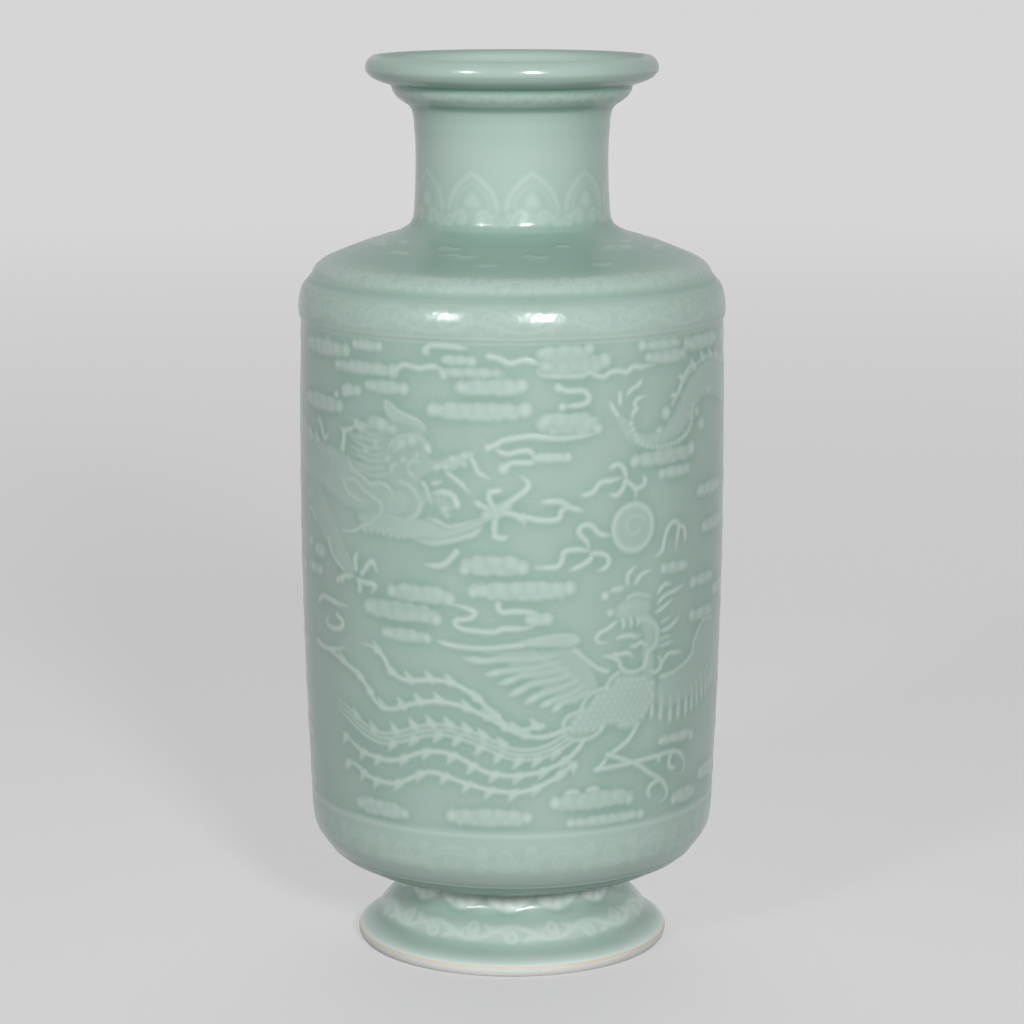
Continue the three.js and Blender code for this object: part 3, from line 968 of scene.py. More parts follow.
def dragon_limbs(sheet):
    sheet.pad(ARM, 0.26, 2.2, 0.06)
    ribbon(sheet, FAR_LEG, (14, 13, 11, 8, 5), 0.18, 2.6, 0.14)
    for width, height, thin_start, thin_end, points in ARM_LINES:
        sheet.stroke(points, width, height, thin_start, thin_end)
    for index in range(8):
        sheet.dab(-58 + index * 3, 170.2 + 0.4 * math.sin(index), 1.5, 0.28)
    sheet.dab(-5.2, 180.6, 3.2, 0.36)
    sheet.dab(-20, 165.2, 1.4)
    sheet.trail(CLAWS, 2.2, LINE, 0, 0.35)


# Its body runs on round the vase, so its tail shows at the right of the photographed side
DRAGON_BODY = [
    (-38, 183), (-48, 181), (-60, 184), (-74, 189), (-88, 191.5), (-100, 194), (-111, 200), (-121, 209),
    (-132, 216), (-144, 219), (-156, 222.5), (-166, 222), (-174, 217), (-180, 210), (-188, 204.8),
    (-196, 203.3), (-203, 204.8), (-207.5, 209), (-210, 214),
]
DRAGON_WIDTHS = (10, 13, 16, 18, 18, 18, 17, 16, 15, 14.5, 14, 13, 12, 10, 7.5, 6, 4.8, 3.6, 2.6)
TAIL_EDGE = [
    (-205.3, 210.3), (-202.8, 205.3), (-198.7, 202), (-192, 200.7), (-183.7, 201.2), (-177, 203.7),
    (-173.7, 207.8), (-172.8, 213.7),
]
TAIL_TIPS = [
    [(36, 219), (38, 215.5), (40, 213)],
    [(40.3, 222.5), (40.3, 217.5)],
    [(43, 220.5), (45, 222.5), (48, 223.8), (50, 226)],
    [(51.5, 219.8), (48, 219), (46.5, 217.5), (47.5, 215.5), (46, 214.3), (45.3, 212)],
    [(78, 229.8), (74, 227), (71, 224), (69, 220), (67.5, 218)],
    [(71, 224), (69, 225.3)],
    [(67.5, 218), (64.5, 219)],
]

BACK_LINE = 7.4  # from the middle of the body to the line along its back
BACK_SPINES = range(-174, -88, 7)


def dragon(sheet):
    ribbon(sheet, DRAGON_BODY, DRAGON_WIDTHS, 0.2, 2.6, 0.08)
    sheet.freeze()
    scales_along(sheet, DRAGON_BODY[3:], DRAGON_WIDTHS[3:], 3.6, 0.12)
    back = offset(DRAGON_BODY[4:14], -BACK_LINE)[::4]
    sheet.stroke(back, 1.4, 0.3)
    thorns(sheet, back, BACK_SPINES, 1)
    for s, v in even(smooth(TAIL_EDGE, 8), 2.3):
        sheet.dab(s, v, 1.3, LINE)
    sheet.trail(TAIL_TIPS, 1.7, LINE, 0.25, 0.15)
    sheet.dab(61.5, 212.5, 2.6, 0.4)
    sheet.dab(58, 206.6, 1.5)
    dragon_limbs(sheet)
    dragon_head(sheet)


# Each bank of cloud: its box, its lobes and its knobs, as (left, right, low, high) and (s, v, radius)
CLOUDS = [
    ((-100, -66, 231, 237.6), [(-95, 236, 2.2), (-88, 236, 2.2), (-79.5, 236.6, 2.2), (-92.5, 233, 2.1),
     (-87, 233, 2.1), (-82.5, 234, 2.1), (-78.5, 234.4, 2.1), (-74, 234.8, 2.3)], [(-68.5, 234.5, 2.6)]),
    ((-65, -49.5, 235.4, 240), [(-63, 237, 1.7), (-59.5, 237.6, 1.7), (-56, 237, 1.7)],
     [(-51.5, 237.5, 1.9)]),
    ((-75, -42, 226.4, 232), [(-73, 229, 2.3), (-68.5, 228.3, 2), (-64.5, 229, 2), (-60.3, 229.3, 2),
     (-56.5, 229.4, 1.7), (-52, 229.6, 2.7)], [(-45, 229.2, 2.7)]),
    ((-71, -60, 218, 223.2), [(-66.5, 220.6, 2)], [(-61.8, 220.7, 2)]),
    ((-58.5, -38.5, 220.6, 226.2), [(-54, 223, 2.2), (-49, 223.2, 2.2), (-44.8, 223.2, 2)],
     [(-40.5, 223.2, 2.2)]),
    ((-100, -70, 210.4, 217.4), [(-95, 214, 2.6), (-89, 213.4, 2.6), (-83, 213.8, 2.6),
     (-77.5, 213.6, 2.6)], [(-72.3, 213.8, 2.5), (-74, 218, 1.4)]),
    ((-26, -13, 232.4, 236.6), [(-22.5, 234.4, 1.7), (-18, 234.4, 1.9)], [(-14.5, 234.2, 1.9),
     (-31.7, 237.5, 1.7)]),
    ((-27, -2.8, 228, 232.4), [(-20, 229.8, 1.9), (-15, 230.4, 1.9), (-10, 229.8, 1.9), (-5, 229.2, 1.9)],
     [(-24.7, 229, 1.5)]),
    ((-21, 6.2, 221.6, 228.6), [(-17, 224.2, 2.2), (-11.5, 225.2, 2.3), (-6.5, 225.6, 2.2),
     (-1, 225, 2.2)], [(3.2, 225.6, 2.4)]),
    ((-31.8, 7, 212.6, 220), [(-27.5, 216.6, 2.7), (-22, 216.6, 2.6), (-16.5, 216.4, 2.6),
     (-11.5, 216.4, 2.4), (-6.8, 216.8, 2.3), (-2, 217.4, 2.5)], [(4.4, 217, 2.8)]),
    ((8, 33, 207.2, 216.2), [(12.5, 213.6, 2), (17.5, 213, 2.4), (22.5, 213, 2.6), (27, 211.5, 2.5)],
     [(31.2, 209.6, 2)]),
    ((8, 30, 233.5, 240), [(13, 237.5, 2.2), (18.5, 238, 2.2), (23.5, 237.8, 2.2)], [(28, 238.2, 2.1)]),
    ((9, 37, 228.8, 236.5), [(13, 232, 1.8), (18, 232.2, 2), (22.5, 232.6, 1.9), (26.5, 232.4, 2),
     (30.5, 231.8, 1.8)], [(34, 233.8, 2.8)]),
    ((6.5, 22, 197.6, 201.8), [(9.8, 199.6, 1.7), (13, 199.7, 1.7), (16.4, 199.9, 1.7)],
     [(19.8, 199.7, 1.8)]),
    ((48.5, 71, 235.4, 240), [(54.8, 238, 2), (60, 237.6, 2), (66, 238.4, 2)], [(50, 238, 1.9)]),
    ((51.5, 74, 230.4, 236.2), [(57, 233.2, 1.9), (61.6, 232.6, 2), (66.4, 232.8, 2), (71, 233, 2)],
     [(53, 233.6, 1.8)]),
    ((71, 100, 233, 239.4), [(73.5, 238, 2), (76, 235.4, 2), (81.8, 237, 2.6), (88, 236.4, 3),
     (94, 236.4, 3)], []),
    ((44.8, 79, 193.4, 200.2), [(51.5, 196.8, 2.2), (57.3, 197.4, 2.2), (63, 197.6, 2.2), (69, 198, 2.2)],
     [(46.5, 196.3, 2), (76.2, 197.8, 2.6)]),
    ((57.8, 76, 188.2, 193.2), [(64, 190.8, 2), (69, 190.6, 2), (73.5, 191, 1.8)], [(59.4, 190.5, 1.9)]),
    ((-19.2, 6, 156.4, 164.8), [(-12, 160.4, 2.4), (-6.5, 162, 2.5), (0, 161.8, 2.5)], [(-17, 159, 2),
     (3.4, 160, 2.8)]),
    ((-16.4, 23.8, 147.4, 155.4), [(-10.3, 151.4, 2.3), (-4.5, 152.2, 2.3), (1.4, 152.6, 2.3),
     (6.6, 152.2, 2.3), (11.6, 152.2, 2.3), (16, 152, 2.2)], [(20.6, 152, 2.6), (-14, 150.6, 1.8)]),
    ((-48.4, -20.2, 145, 152.6), [(-45.8, 148.8, 2.2), (-40, 150.2, 2.6), (-35, 148.6, 2.4),
     (-30.5, 148.4, 2.4), (-26.8, 149, 2.2)], [(-23, 147.8, 2.4)]),
    ((-60, -25.6, 137.6, 146), [(-55, 141.6, 2.6), (-49, 141.6, 2.6), (-43, 141, 2.5), (-37, 140.6, 2.3),
     (-32, 140.2, 2)], [(-28, 140, 2.3)]),
    ((-51.4, -30, 130.2, 136), [(-47, 132.8, 2.2), (-42, 133, 2.2), (-37, 132.8, 2)],
     [(-31.6, 132.6, 1.8)]),
    ((4, 14.8, 138.2, 143.8), [(8, 141, 2)], [(12.4, 141, 2.4)]),
    ((-25.8, 8.2, 62.8, 70.2), [(-22, 67, 2.2), (-17, 67, 2.3), (-10, 67.6, 2.6), (-4.5, 67.6, 2.4),
     (0.5, 67.4, 2.3)], [(5.4, 66.6, 2.3)]),
    ((13.6, 50, 68, 75.6), [(16.4, 71.6, 2.1), (21, 72.6, 2.3), (26.4, 72, 2.6), (31.4, 72, 2.3),
     (36, 72, 2.3), (41, 72.4, 2.3)], [(46.8, 70.4, 2.2)]),
    ((20.4, 54.8, 61.4, 66.2), [(22.6, 64, 1.8), (26.4, 63.2, 1.8), (31, 63.8, 1.8), (35.2, 64.2, 1.8),
     (39.6, 64, 1.8), (44, 63.6, 1.8), (48.2, 64, 1.8)], [(52.4, 63.6, 2)]),
    ((-67.4, -40, 62, 69.2), [(-63, 66.8, 2), (-58.8, 67.2, 2.1), (-54.2, 66.8, 2.1), (-50, 65.2, 1.9),
     (-46.6, 65.8, 1.8)], [(-42.6, 65.2, 2)]),
    ((68.6, 88, 63, 69.6), [(75, 66.4, 2.4), (80.6, 66.6, 2.4)], [(70.8, 65.6, 2)]),
    ((60, 84, 87.6, 92.2), [(63, 90.4, 2), (69, 90.4, 2), (75, 89.6, 2)], [(81, 88.6, 2)]),
    ((-92, -82, 155, 161), [(-89, 158, 2)], [(-85.5, 157.4, 2.2), (-96, 160, 2), (-71, 149.5, 1.2)]),
    ((-100, -84, 148, 153), [(-94, 150.6, 2)], [(-87, 150.6, 2)]),
    ((59, 76, 152.4, 157.4), [(71, 155, 2)], [(61, 155.3, 2), (65.5, 155.5, 2)]),
    ((76, 98, 145, 150), [(85, 147.4, 2), (92, 147.4, 2)], [(78.8, 147.3, 2.3)]),
    ((76.5, 98, 131.5, 137.2), [(85, 134.6, 2.2), (92, 134.4, 2.2)], [(78.5, 135, 2)]),
]
LOOSE_LOBES = [(75.5, 210.5, 2), (80, 211, 2), (83.8, 206, 2.6), (90, 218, 2.2)]

# Banks at the sides and on the stretch that the photograph doesn't show
SIDE_BANKS = [
    (80, 104, 178, 184), (84, 108, 164, 170), (96, 118, 138, 144), (88, 112, 68, 75),
    (104, 140, 232, 239), (110, 146, 177, 184), (113, 139, 160, 166), (120, 150, 146, 153),
    (112, 134, 129, 135), (122, 150, 117, 123), (108, 138, 99, 105), (116, 150, 82, 89),
    (118, 150, 63, 70),
]

# Tails of cloud that start at a knob of the given radius, or at none
WISPS = [
    (2.0, [(-45, 229), (-42.5, 230.8), (-40, 231.8), (-34, 231), (-30, 231.8), (-25.5, 231.3)]),
    (0, [(-70, 218.7), (-65, 219.5)]),
    (0, [(-30.5, 236), (-31.8, 237.8), (-29.5, 239.4), (-24, 239.4), (-16, 238.8)]),
    (1.4, [(-8.2, 236.2), (-5, 235.5), (-2, 234), (0, 233.8), (4, 234.7), (7, 234.2), (10, 233.2)]),
    (0, [(9, 231.5), (9.5, 230), (11, 229.3), (15, 229), (25, 228.8), (28, 229.8), (31, 228.5), (34, 228),
     (36, 229.3), (40, 229.8), (43, 229), (46, 230.8), (50, 230.4), (56, 230.8)]),
    (1.7, [(16.5, 224.8), (20, 223.5), (25, 223.5), (27.5, 222), (28, 220.5), (27, 219), (24, 218.2),
     (19, 218)]),
    (1.6, [(18, 217.7), (19, 218)]),
    (1.6, [(-8.5, 203.5), (-5, 205), (-3.5, 206), (0, 206.8), (6, 207.5), (12, 207), (17, 206.5),
     (24, 207), (31, 208)]),
    (0, [(-6, 203), (-2, 201.3), (3, 202.3), (6, 202.2), (7.5, 201), (7, 200)]),
    (2.3, [(-3, 196), (0, 198), (8, 198)]),
    (0, [(10.3, 183.7), (17, 183.7), (21.3, 181.4), (25.5, 180)]),
    (1.2, [(3.5, 178.8), (9.7, 177.2), (16.5, 177.4), (17.8, 180.4), (21.3, 181.4)]),
    (0, [(-22, 146), (-17, 145), (-13.5, 143.5), (-14.5, 141.5), (-17.5, 140.6), (-20, 140.3),
     (-20.8, 139), (-19.5, 137.7), (-16, 136.8), (-7, 136.3), (-3, 137.5), (4, 137.7), (8, 138.5)]),
    (1.4, [(-5, 146.5), (-5, 145), (-3, 143.6), (1, 144), (9, 143.5)]),
    (0, [(20, 75), (23, 75.7), (25.5, 75)]),
    (0, [(28.5, 75.6), (31, 76.2), (33.5, 75.4)]),
]


def clouds(sheet):
    for box, lobes, knobs in CLOUDS:
        cloud_pad(sheet, *box)
    for box in SIDE_BANKS:
        cloud_pad(sheet, *box)
    sheet.freeze()
    for box, lobes, knobs in CLOUDS:
        cloud_lobes(sheet, box[2], box[3], lobes, knobs)
    for box in SIDE_BANKS:
        cloud_lobes(sheet, box[2], box[3], *even_lobes(*box))
    for s, v, radius in LOOSE_LOBES:
        sheet.dab(s, v, radius, 0.34)
    for knob, points in WISPS:
        sheet.stroke(points, 2.0, LINE, 0 if knob else 0.15, 0.15)
        if knob:
            sheet.dab(*points[0], knob)


def body_sheet():
    sheet = Carving(repeats=2, radius=UNROLLED_RADIUS, low=BOWL_TOP - 4, high=BODY_TOP + 4)
    clouds(sheet)
    pearl(sheet)
    flames(sheet)
    phoenix(sheet)
    dragon(sheet)
    for v in (BOWL_TOP - 0.2, BODY_TOP + 0.4):
        sheet.ring(v, 2.6, 0.16)
    sheet.glaze(pale=1.1, depth=0.5)
    return sheet


# The borders. Each is one repeat of a pattern, and s is 0 at the sheet's start.

def band_scroll():
    """Dense faint curls and leaves on the shoulder's band."""
    low, high = BODY_TOP + 2, BODY_TOP + 12
    sheet = Carving(repeats=15, radius=BAND, low=low - 1.5, high=high + 1.5, start=38.2)
    sheet.wave(low + 3.1, -1.9, 1.3, FAINT)
    both_curls(sheet, 3.6, low + 6.0, 2.9, 1.5, math.pi / 2, -1, 1.1, FAINT)
    both_curls(sheet, 12.4, low + 5.4, 2.7, 1.5, -math.pi / 2, 1, 1.1, FAINT)
    both_curls(sheet, 8.2, low + 2.2, 1.6, 1.2, 0, 1, 1.0, FAINT)
    for lean in (0, 1.5, 3):
        leaf = [(6.4 + lean, low + 4.6), (7.4 + lean, low + 6.8), (6.2 + lean, low + 8.8)]
        sheet.both_sides(leaf, 1.0, FAINT, 0.2, 0.4)
    sheet.both_sides([(0, high - 0.6), (3.5, high - 0.4), (8, high - 1.6), (10.5, low + 6.6)], 1.2)
    sheet.both_sides([(11.5, high - 1.2), (14.5, high - 0.6), (sheet.width / 2, high - 1.8)], 1.2)
    sheet.glaze(0.32, 2.2, 1.5, 0.5)
    return sheet


def chamfer_scroll(low, high):
    """A running scroll round the chamfer, by the way up the shoulder."""
    sheet = Carving(repeats=15, radius=75, low=low - 2, high=high + 2, start=17)
    middle = (low + high) / 2
    for lift in (-0.5, 0.9):
        sheet.wave(middle + lift, -2.2, 0.9, FAINT)
    both_curls(sheet, 3.4, middle - 1.1, 2.2, 1.5, math.pi / 2, -1, 1.0, FAINT)
    both_curls(sheet, 12.0, middle + 1.4, 2.3, 1.5, -math.pi / 2, 1, 1.0, FAINT)
    both_curls(sheet, 7.6, middle + 1.9, 1.6, 1.2, 0, 1, 1.0, FAINT)
    both_curls(sheet, 8.6, middle - 2.0, 1.6, 1.2, math.pi, 1, 1.0, FAINT)
    sheet.glaze(0.3, 2.0, 1.8, 0.5)
    return sheet


def bowl_scroll():
    """A broad faint scroll where the bowl turns up into the wall."""
    low, high = FOOT_TOP + 17.4, FOOT_TOP + 28.4
    sheet = Carving(repeats=12, radius=77, low=low - 1.5, high=high + 1.5, start=-2)
    width = sheet.width
    middle = (low + high) / 2
    for lift in (-0.8, 1.0):
        sheet.wave(middle + lift, -3.4, 1.2, FAINT)
    curls = [
        (0.0, middle + 1.2, 3.8, 1),
        (0.5, middle - 1.2, 3.8, -1),
        (0.26, low + 2.2, 2.2, 1),
        (0.76, low + 2.0, 2.2, -1),
        (0.22, high - 2.0, 2.2, -1),
        (0.78, high - 2.0, 2.2, 1),
    ]
    for place, v, radius, way in curls:
        curl(sheet, width * place, v, radius, 1.7, way * math.pi / 2, way, 1.3, FAINT)
    crest = [(width * 0.36, high - 1.4), (width * 0.5, high - 0.6), (width * 0.64, high - 1.4)]
    sheet.stroke(crest, 1.3, FAINT, 0.3, 0.3)
    sheet.glaze(0.4, 2.4, 1.5, 0.6)
    return sheet


def neck_lappets():
    """Upright pointed lappets, soft and broad, with curls between their feet."""
    low = NECK_FOOT + 1.5
    radius = 37.2
    start = math.radians(-6) * radius
    sheet = Carving(repeats=10, radius=radius, low=low - 2, high=low + 22, start=start)
    half = sheet.width / 2
    arch = [(10, low + 6.8), (9.3, low + 9.6), (7.8, low + 12.8), (4.4, low + 16.4), (0, low + 19.6)]
    sheet.both_sides(arch, 2.2, 0.16)
    sheet.both_sides([(7.2, low + 7), (6.6, low + 9.6), (4.6, low + 12.8), (0, low + 16.2)], 1.5, 0.09)
    heart = [(-4, 7), (-3.4, 10.6), (0, 14), (3.4, 10.6), (4, 7), (0, 6)]
    sheet.pad([(half + s, low + v) for s, v in heart], 0.15, 2.2, 0)
    both_curls(sheet, 4.4, low + 3.2, 2.9, 1.25, math.pi / 2, -1, 1.8, 0.15)
    both_curls(sheet, 9.4, low + 3.0, 2.3, 1.2, -math.pi / 2, 1, 1.6, 0.14)
    for side in (-1, 1):
        sheet.dab(half + side * 4.4, low + 3.2, 1.3, 0.15)
    sheet.glaze(0.5, 2.6, 1.25, 0.35)
    return sheet


def foot_lappets():
    """Hanging lappets round the narrow top of the foot, each with four soft swellings."""
    high = FOOT_TOP - 0.5
    radius = FOOT_WAIST + 0.2
    start = math.radians(-14.56) * radius
    sheet = Carving(repeats=14, radius=radius, low=high - 8.8, high=high + 3, start=start)
    half = sheet.width / 2
    shape = [(-9.1, 1), (-8.4, -3), (-5, -5.4), (0, -6.8), (5, -5.4), (8.4, -3), (9.1, 1)]
    sheet.pad([(half + s, high + v) for s, v in shape], 0.26, 1.4, 0.12)
    sheet.freeze()
    swellings = [(-4.6, 2.6, 2.6, 0.16), (4.6, 2.6, 2.6, 0.16), (0, 4.2, 2.2, 0.18), (0, 0.6, 2.2, 0.14)]
    for s, drop, swell, height in swellings:
        sheet.puff(half + s, high - drop, swell, height)
    sheet.glaze(0.35, 2.4, 1.5, 0.6)
    return sheet


def foot_scroll():
    """A pale scroll of spirals and leaves round the foot's domed band."""
    low, high = FOOT_DOME_RISE - 1.4, FOOT_DOME_RISE + 4.6
    middle = (low + high) / 2
    sheet = Carving(repeats=10, radius=50, low=low - 1.4, high=high + 1.4)
    sheet.wave(middle, 1.9, 1.7, 0.14)
    curl(sheet, sheet.width * 0.5, middle + 0.9, 2.5, 1.5, 2.2, -1, 1.4, 0.15)
    curl(sheet, 0, middle - 0.9, 2.5, 1.5, -0.9, -1, 1.4, 0.15)
    for start, flip in ((0.14, 1), (0.64, -1)):
        for step in range(3):
            s = sheet.width * start + step * 2.6
            leaf = [
                (s, middle - flip * (2.6 - step * 0.5)),
                (s + 2.2, middle - flip * (1.2 - step * 0.5)),
                (s + 3.6, middle - flip * (0.2 - step * 0.9)),
            ]
            sheet.stroke(leaf, 1.4, 0.13, 0.2, 0.3)
    sheet.glaze(0.35, 2.4, 1.7, 0.4)
    return sheet


SLOPE_WISPS = [
    [(-32, 19), (-28, 21), (-24, 20), (-20, 21.5)],
    [(-27, 13), (-22, 15), (-17, 13.5), (-12, 15)],
    [(3, 13.5), (6, 15), (10, 13.6), (14, 14.8)],
    [(18, 22), (22, 23.6), (26, 22.4)],
    [(38, 18), (44, 20), (50, 18.4), (57, 19.6)],
    [(64, 12), (70, 14), (76, 12.6)],
]


def slope_clouds(low):
    """Long thin clouds on the shoulder's slope, by the way up the shoulder."""
    sheet = Carving(repeats=3, radius=55, low=low, high=low + 30)
    for points in SLOPE_WISPS:
        left, right = points[0][0], points[-1][0]
        level = low + points[len(points) // 2][1] - 1.4
        sheet.pad(ellipse((left + right) / 2, level, (right - left) / 2, 2.2), 0.14, 1.6, 0)
        sheet.stroke([(s, low + v) for s, v in points], 1.8, 0.28, 0.2, 0.2)
    for s, v in ((30, 6), (-8, 7), (60, 22)):
        sheet.pad(ellipse(s, low + v, 5, 2.4), 0.16, 1.8, 0)
    sheet.glaze(0.5, 2.6)
    return sheet


def collar_scroll():
    """A very faint scroll under the lip: two waves, with curls in their hollows and pairs of leaves."""
    low, high = ROLL_FOOT - 4.9, ROLL_FOOT - 1.1
    sheet = Carving(repeats=11, radius=COLLAR - 1.5, low=low - 1.5, high=high + 1.5)
    middle = (low + high) / 2
    reach = (high - low) / 2
    length = sheet.width / 2
    steps = 32
    wave = []
    for step in range(-1, steps + 2):
        lift = reach * 0.62 * math.sin(2 * math.pi * step / 16)
        wave.append((sheet.width * step / steps, middle + lift))
    sheet.stroke(wave, 1.1, 0.11)
    for start in (0, length):
        for place, side in ((0.25, -1), (0.75, 1)):
            hollow = (start + length * place, middle + side * reach * 0.25)
            curl(sheet, *hollow, reach * 0.62, 1.2, -1.6 * side, -1, 1.1, 0.11)
            crossing = start + length * (place - 0.25)
            for lean in (-1, 1):
                leaf = [
                    (crossing + lean * length * 0.02, middle + side * reach * 0.3),
                    (crossing + lean * length * 0.07, middle + side * reach * 0.8),
                ]
                sheet.stroke(leaf, 1.1, 0.11, 0, 0.5)
    sheet.glaze(0.3, 1.6, 1.4)
    return sheet


def bowl_rings():
    """Three fine turned rings on the bowl's underside, by the way up the bowl."""
    sheet = Carving(repeats=8, radius=66, low=17, high=33)
    for v in (19.5, 26.5, 30):
        sheet.ring(v, 1.2, 0.3)
    sheet.glaze(0.25, 1.6)
    return sheet


# The turned pieces

GRID_EDGE = 0.99999  # the grid reaches from -1 to 1


def rolled(columns, places, closed):
    """A flat grid whose ends meet: columns go round the axis, places go along the outline."""
    shape = bmesh.new()
    shape.loops.layers.uv.new("OFBake")
    bmesh.ops.create_grid(shape, x_segments=columns, y_segments=places, size=1, calc_uvs=True)
    edge = {}
    for corner in shape.verts:
        if max(abs(corner.co.x), abs(corner.co.y)) > GRID_EDGE:
            column = round((corner.co.x + 1) / 2 * columns)
            place = round((corner.co.y + 1) / 2 * places)
            edge[column, place] = corner
    meeting = {}
    for (column, place), corner in edge.items():
        if closed:
            partner = edge[column % columns, place % places]
        else:
            partner = edge[0 if place in (0, places) else column % columns, place]
        if partner is not corner:
            meeting[corner] = partner
    bmesh.ops.weld_verts(shape, targetmap=meeting)
    mesh = bpy.data.meshes.new("rolled")
    shape.to_mesh(mesh)
    shape.free()
    return mesh


class Section:
    """Part of a turned section: its fine outside, its plain inside, and the relief that it carries."""

    def __init__(self, rows, way, inside, reliefs, columns, lead=()):
        self.rows = rows
        self.way = way
        self.inside = np.array(inside, float).reshape(-1, 2)
        self.reliefs = reliefs
        self.columns = columns
        self.lead = np.array(lead, float).reshape(-1, 2)

    def relief(self, field, angle, height, way):
        """What the sheets of relief hold at these places, added up: their surface or their tone."""
        value = np.zeros(np.broadcast(angle, height).shape)
        for sheet, by_height in self.reliefs:
            value = value + sheet.read(getattr(sheet, field), angle, height if by_height else way)
        return value


def surface_points(outline, section, way, angle):
    """The glazed surface: the outline pushed out by the relief. Rows are outline points."""
    slope = np.gradient(outline[:, :2], axis=0)
    slope /= np.hypot(*slope.T)[:, None]
    out_r, out_z = slope[:, 1], -slope[:, 0]
    rise = section.relief("surface", angle[None, :], outline[:, 1][:, None], way[:, None])
    radius = outline[:, 0][:, None] + rise * out_r[:, None]
    height = outline[:, 1][:, None] + rise * out_z[:, None]
    return np.stack([radius * np.sin(angle), -radius * np.cos(angle), height + 0 * angle], -1)


def glazed_surface(section, before, after, angle):
    """The outside's points, normals and tones: the glaze's own, with painted light and shade. The outline
    runs on in before and after.
    """
    long = np.vstack([before, section.rows, after])
    first = len(before)
    way = way_up(long)
    way += section.way - way[first]
    grid = surface_points(long, section, way, angle)
    around = np.roll(grid, -1, 1) - np.roll(grid, 1, 1)
    up = np.gradient(grid, axis=0)
    normal = np.cross(around, up)
    normal /= np.maximum(np.linalg.norm(normal, axis=-1, keepdims=True), TINY)
    relief = section.relief("tone", angle[None, :], long[:, 1][:, None], way[:, None])
    tone = long[:, 2][:, None] + relief
    own = slice(first, first + len(section.rows))
    return grid[own], normal[own], tone[own]


def make_piece(name, section, before, after, material):
    """Rolls up a section, pushes its outside out by the relief and colours its glaze."""
    lead = len(section.lead)
    count = len(section.rows)
    outline = np.vstack([section.lead, section.rows[:, :2], section.inside])
    closed = outline[0, 0] > TINY  # an outline that starts on the axis stays open
    places = len(outline) if closed else len(outline) - 1
    mesh = rolled(section.columns, places, closed)
    flat = np.empty(len(mesh.vertices) * 3)
    mesh.vertices.foreach_get("co", flat)
    flat = flat.reshape(-1, 3)
    column = np.rint((flat[:, 0] + 1) / 2 * section.columns).astype(int) % section.columns
    place = np.rint((flat[:, 1] + 1) / 2 * places).astype(int)

    angle = np.arange(section.columns) / section.columns * 2 * math.pi
    turn = angle[column]
    flat[:, 0] = outline[place, 0] * np.sin(turn)
    flat[:, 1] = -outline[place, 0] * np.cos(turn)
    flat[:, 2] = outline[place, 1]

    grid, normal, tone = glazed_surface(section, before, after, angle)
    outer = (place >= lead) & (place < lead + count)
    flat[outer] = grid[place[outer] - lead, column[outer]]
    mesh.vertices.foreach_set("co", (flat * MM).ravel())
    mesh.update()
    normals = np.empty(len(mesh.vertices) * 3, np.float32)
    mesh.vertex_normals.foreach_get("vector", normals)
    normals = normals.reshape(-1, 3)
    normals[outer] = normal[place[outer] - lead, column[outer]]
    tones = np.full(len(mesh.vertices), max(0, section.rows[-1, 2]), np.float32)
    tones[outer] = tone[place[outer] - lead, column[outer]]
    mesh.attributes.new("glaze_tone_and_painted_light", "FLOAT", "POINT").data.foreach_set("value", tones)
    mesh.shade_smooth()
    mesh.normals_split_custom_set_from_vertices(normals)
    mesh.name = name
    piece = bpy.data.objects.new(name, mesh)
    bpy.context.collection.objects.link(piece)
    mesh.materials.append(material)
    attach(piece, "root")
    return piece


# Finishes

class Recipe:
    """The nodes of a finish. A step takes numbers and other steps' sockets, and gives a socket."""

    def __init__(self, tree):
        self.nodes = tree.nodes
        self.links = tree.links

    def feed(self, node, inputs):
        for name, value in inputs.items():
            if isinstance(value, bpy.types.NodeSocket):
                self.links.new(value, node.inputs[name])
            else:
                node.inputs[name].default_value = value

    def step(self, kind, inputs, output, **settings):
        node = self.nodes.new("ShaderNode" + kind)
        for name, value in settings.items():
            setattr(node, name, value)
        self.feed(node, inputs)
        return node.outputs[output]

    def place(self, kind="Object"):
        return self.step("TexCoord", {}, kind)

    def part(self, place, axis):
        return self.step("SeparateXYZ", {"Vector": place}, axis)

    def maths(self, operation, first, second):
        return self.step("Math", {0: first, 1: second}, "Value", operation=operation)

    def mapped(self, value, low, high, to_low, to_high):
        ends = {"From Min": low, "From Max": high, "To Min": to_low, "To Max": to_high}
        return self.step("MapRange", {"Value": value, **ends}, "Result")

    def noise(self, scale):
        """Cloudy noise on the object's own coordinates."""
        return self.step("TexNoise", {"Scale": scale, "Vector": self.place()}, "Fac")

    def wander(self, scale, low, high):
        """Noise between two values."""
        return self.mapped(self.noise(scale), 0.3, 0.7, low, high)

    def coloured(self, value, stops):
        """A colour ramp with a stop at each (position, colour)."""
        ramp = self.nodes.new("ShaderNodeValToRGB")
        elements = ramp.color_ramp.elements
        for element, (position, colour) in zip(elements, (stops[0], stops[-1])):
            element.position = position
            element.color = (*colour, 1)
        for position, colour in stops[1:-1]:
            elements.new(position).color = (*colour, 1)
        self.links.new(value, ramp.inputs["Fac"])
        return ramp.outputs["Color"]


def shader(name):
    """A new material, its recipe and its surface."""
    material = bpy.data.materials.new(name)
    material.use_nodes = True
    recipe = Recipe(material.node_tree)
    return material, recipe, recipe.nodes["Principled BSDF"]


# A noise's scale, then the two values that it wanders between
GLAZE_DRIFT = (22, -0.045, 0.045)
GLAZE_GRAIN = (900, -0.018, 0.018)
GLAZE_GLOSS = (60, 0.18, 0.25)
RIM_WANDER = (120, -0.05, 0.05)

GLAZE_TONES = (-0.5, 1)  # the tones at the two ends of the glaze's ramp


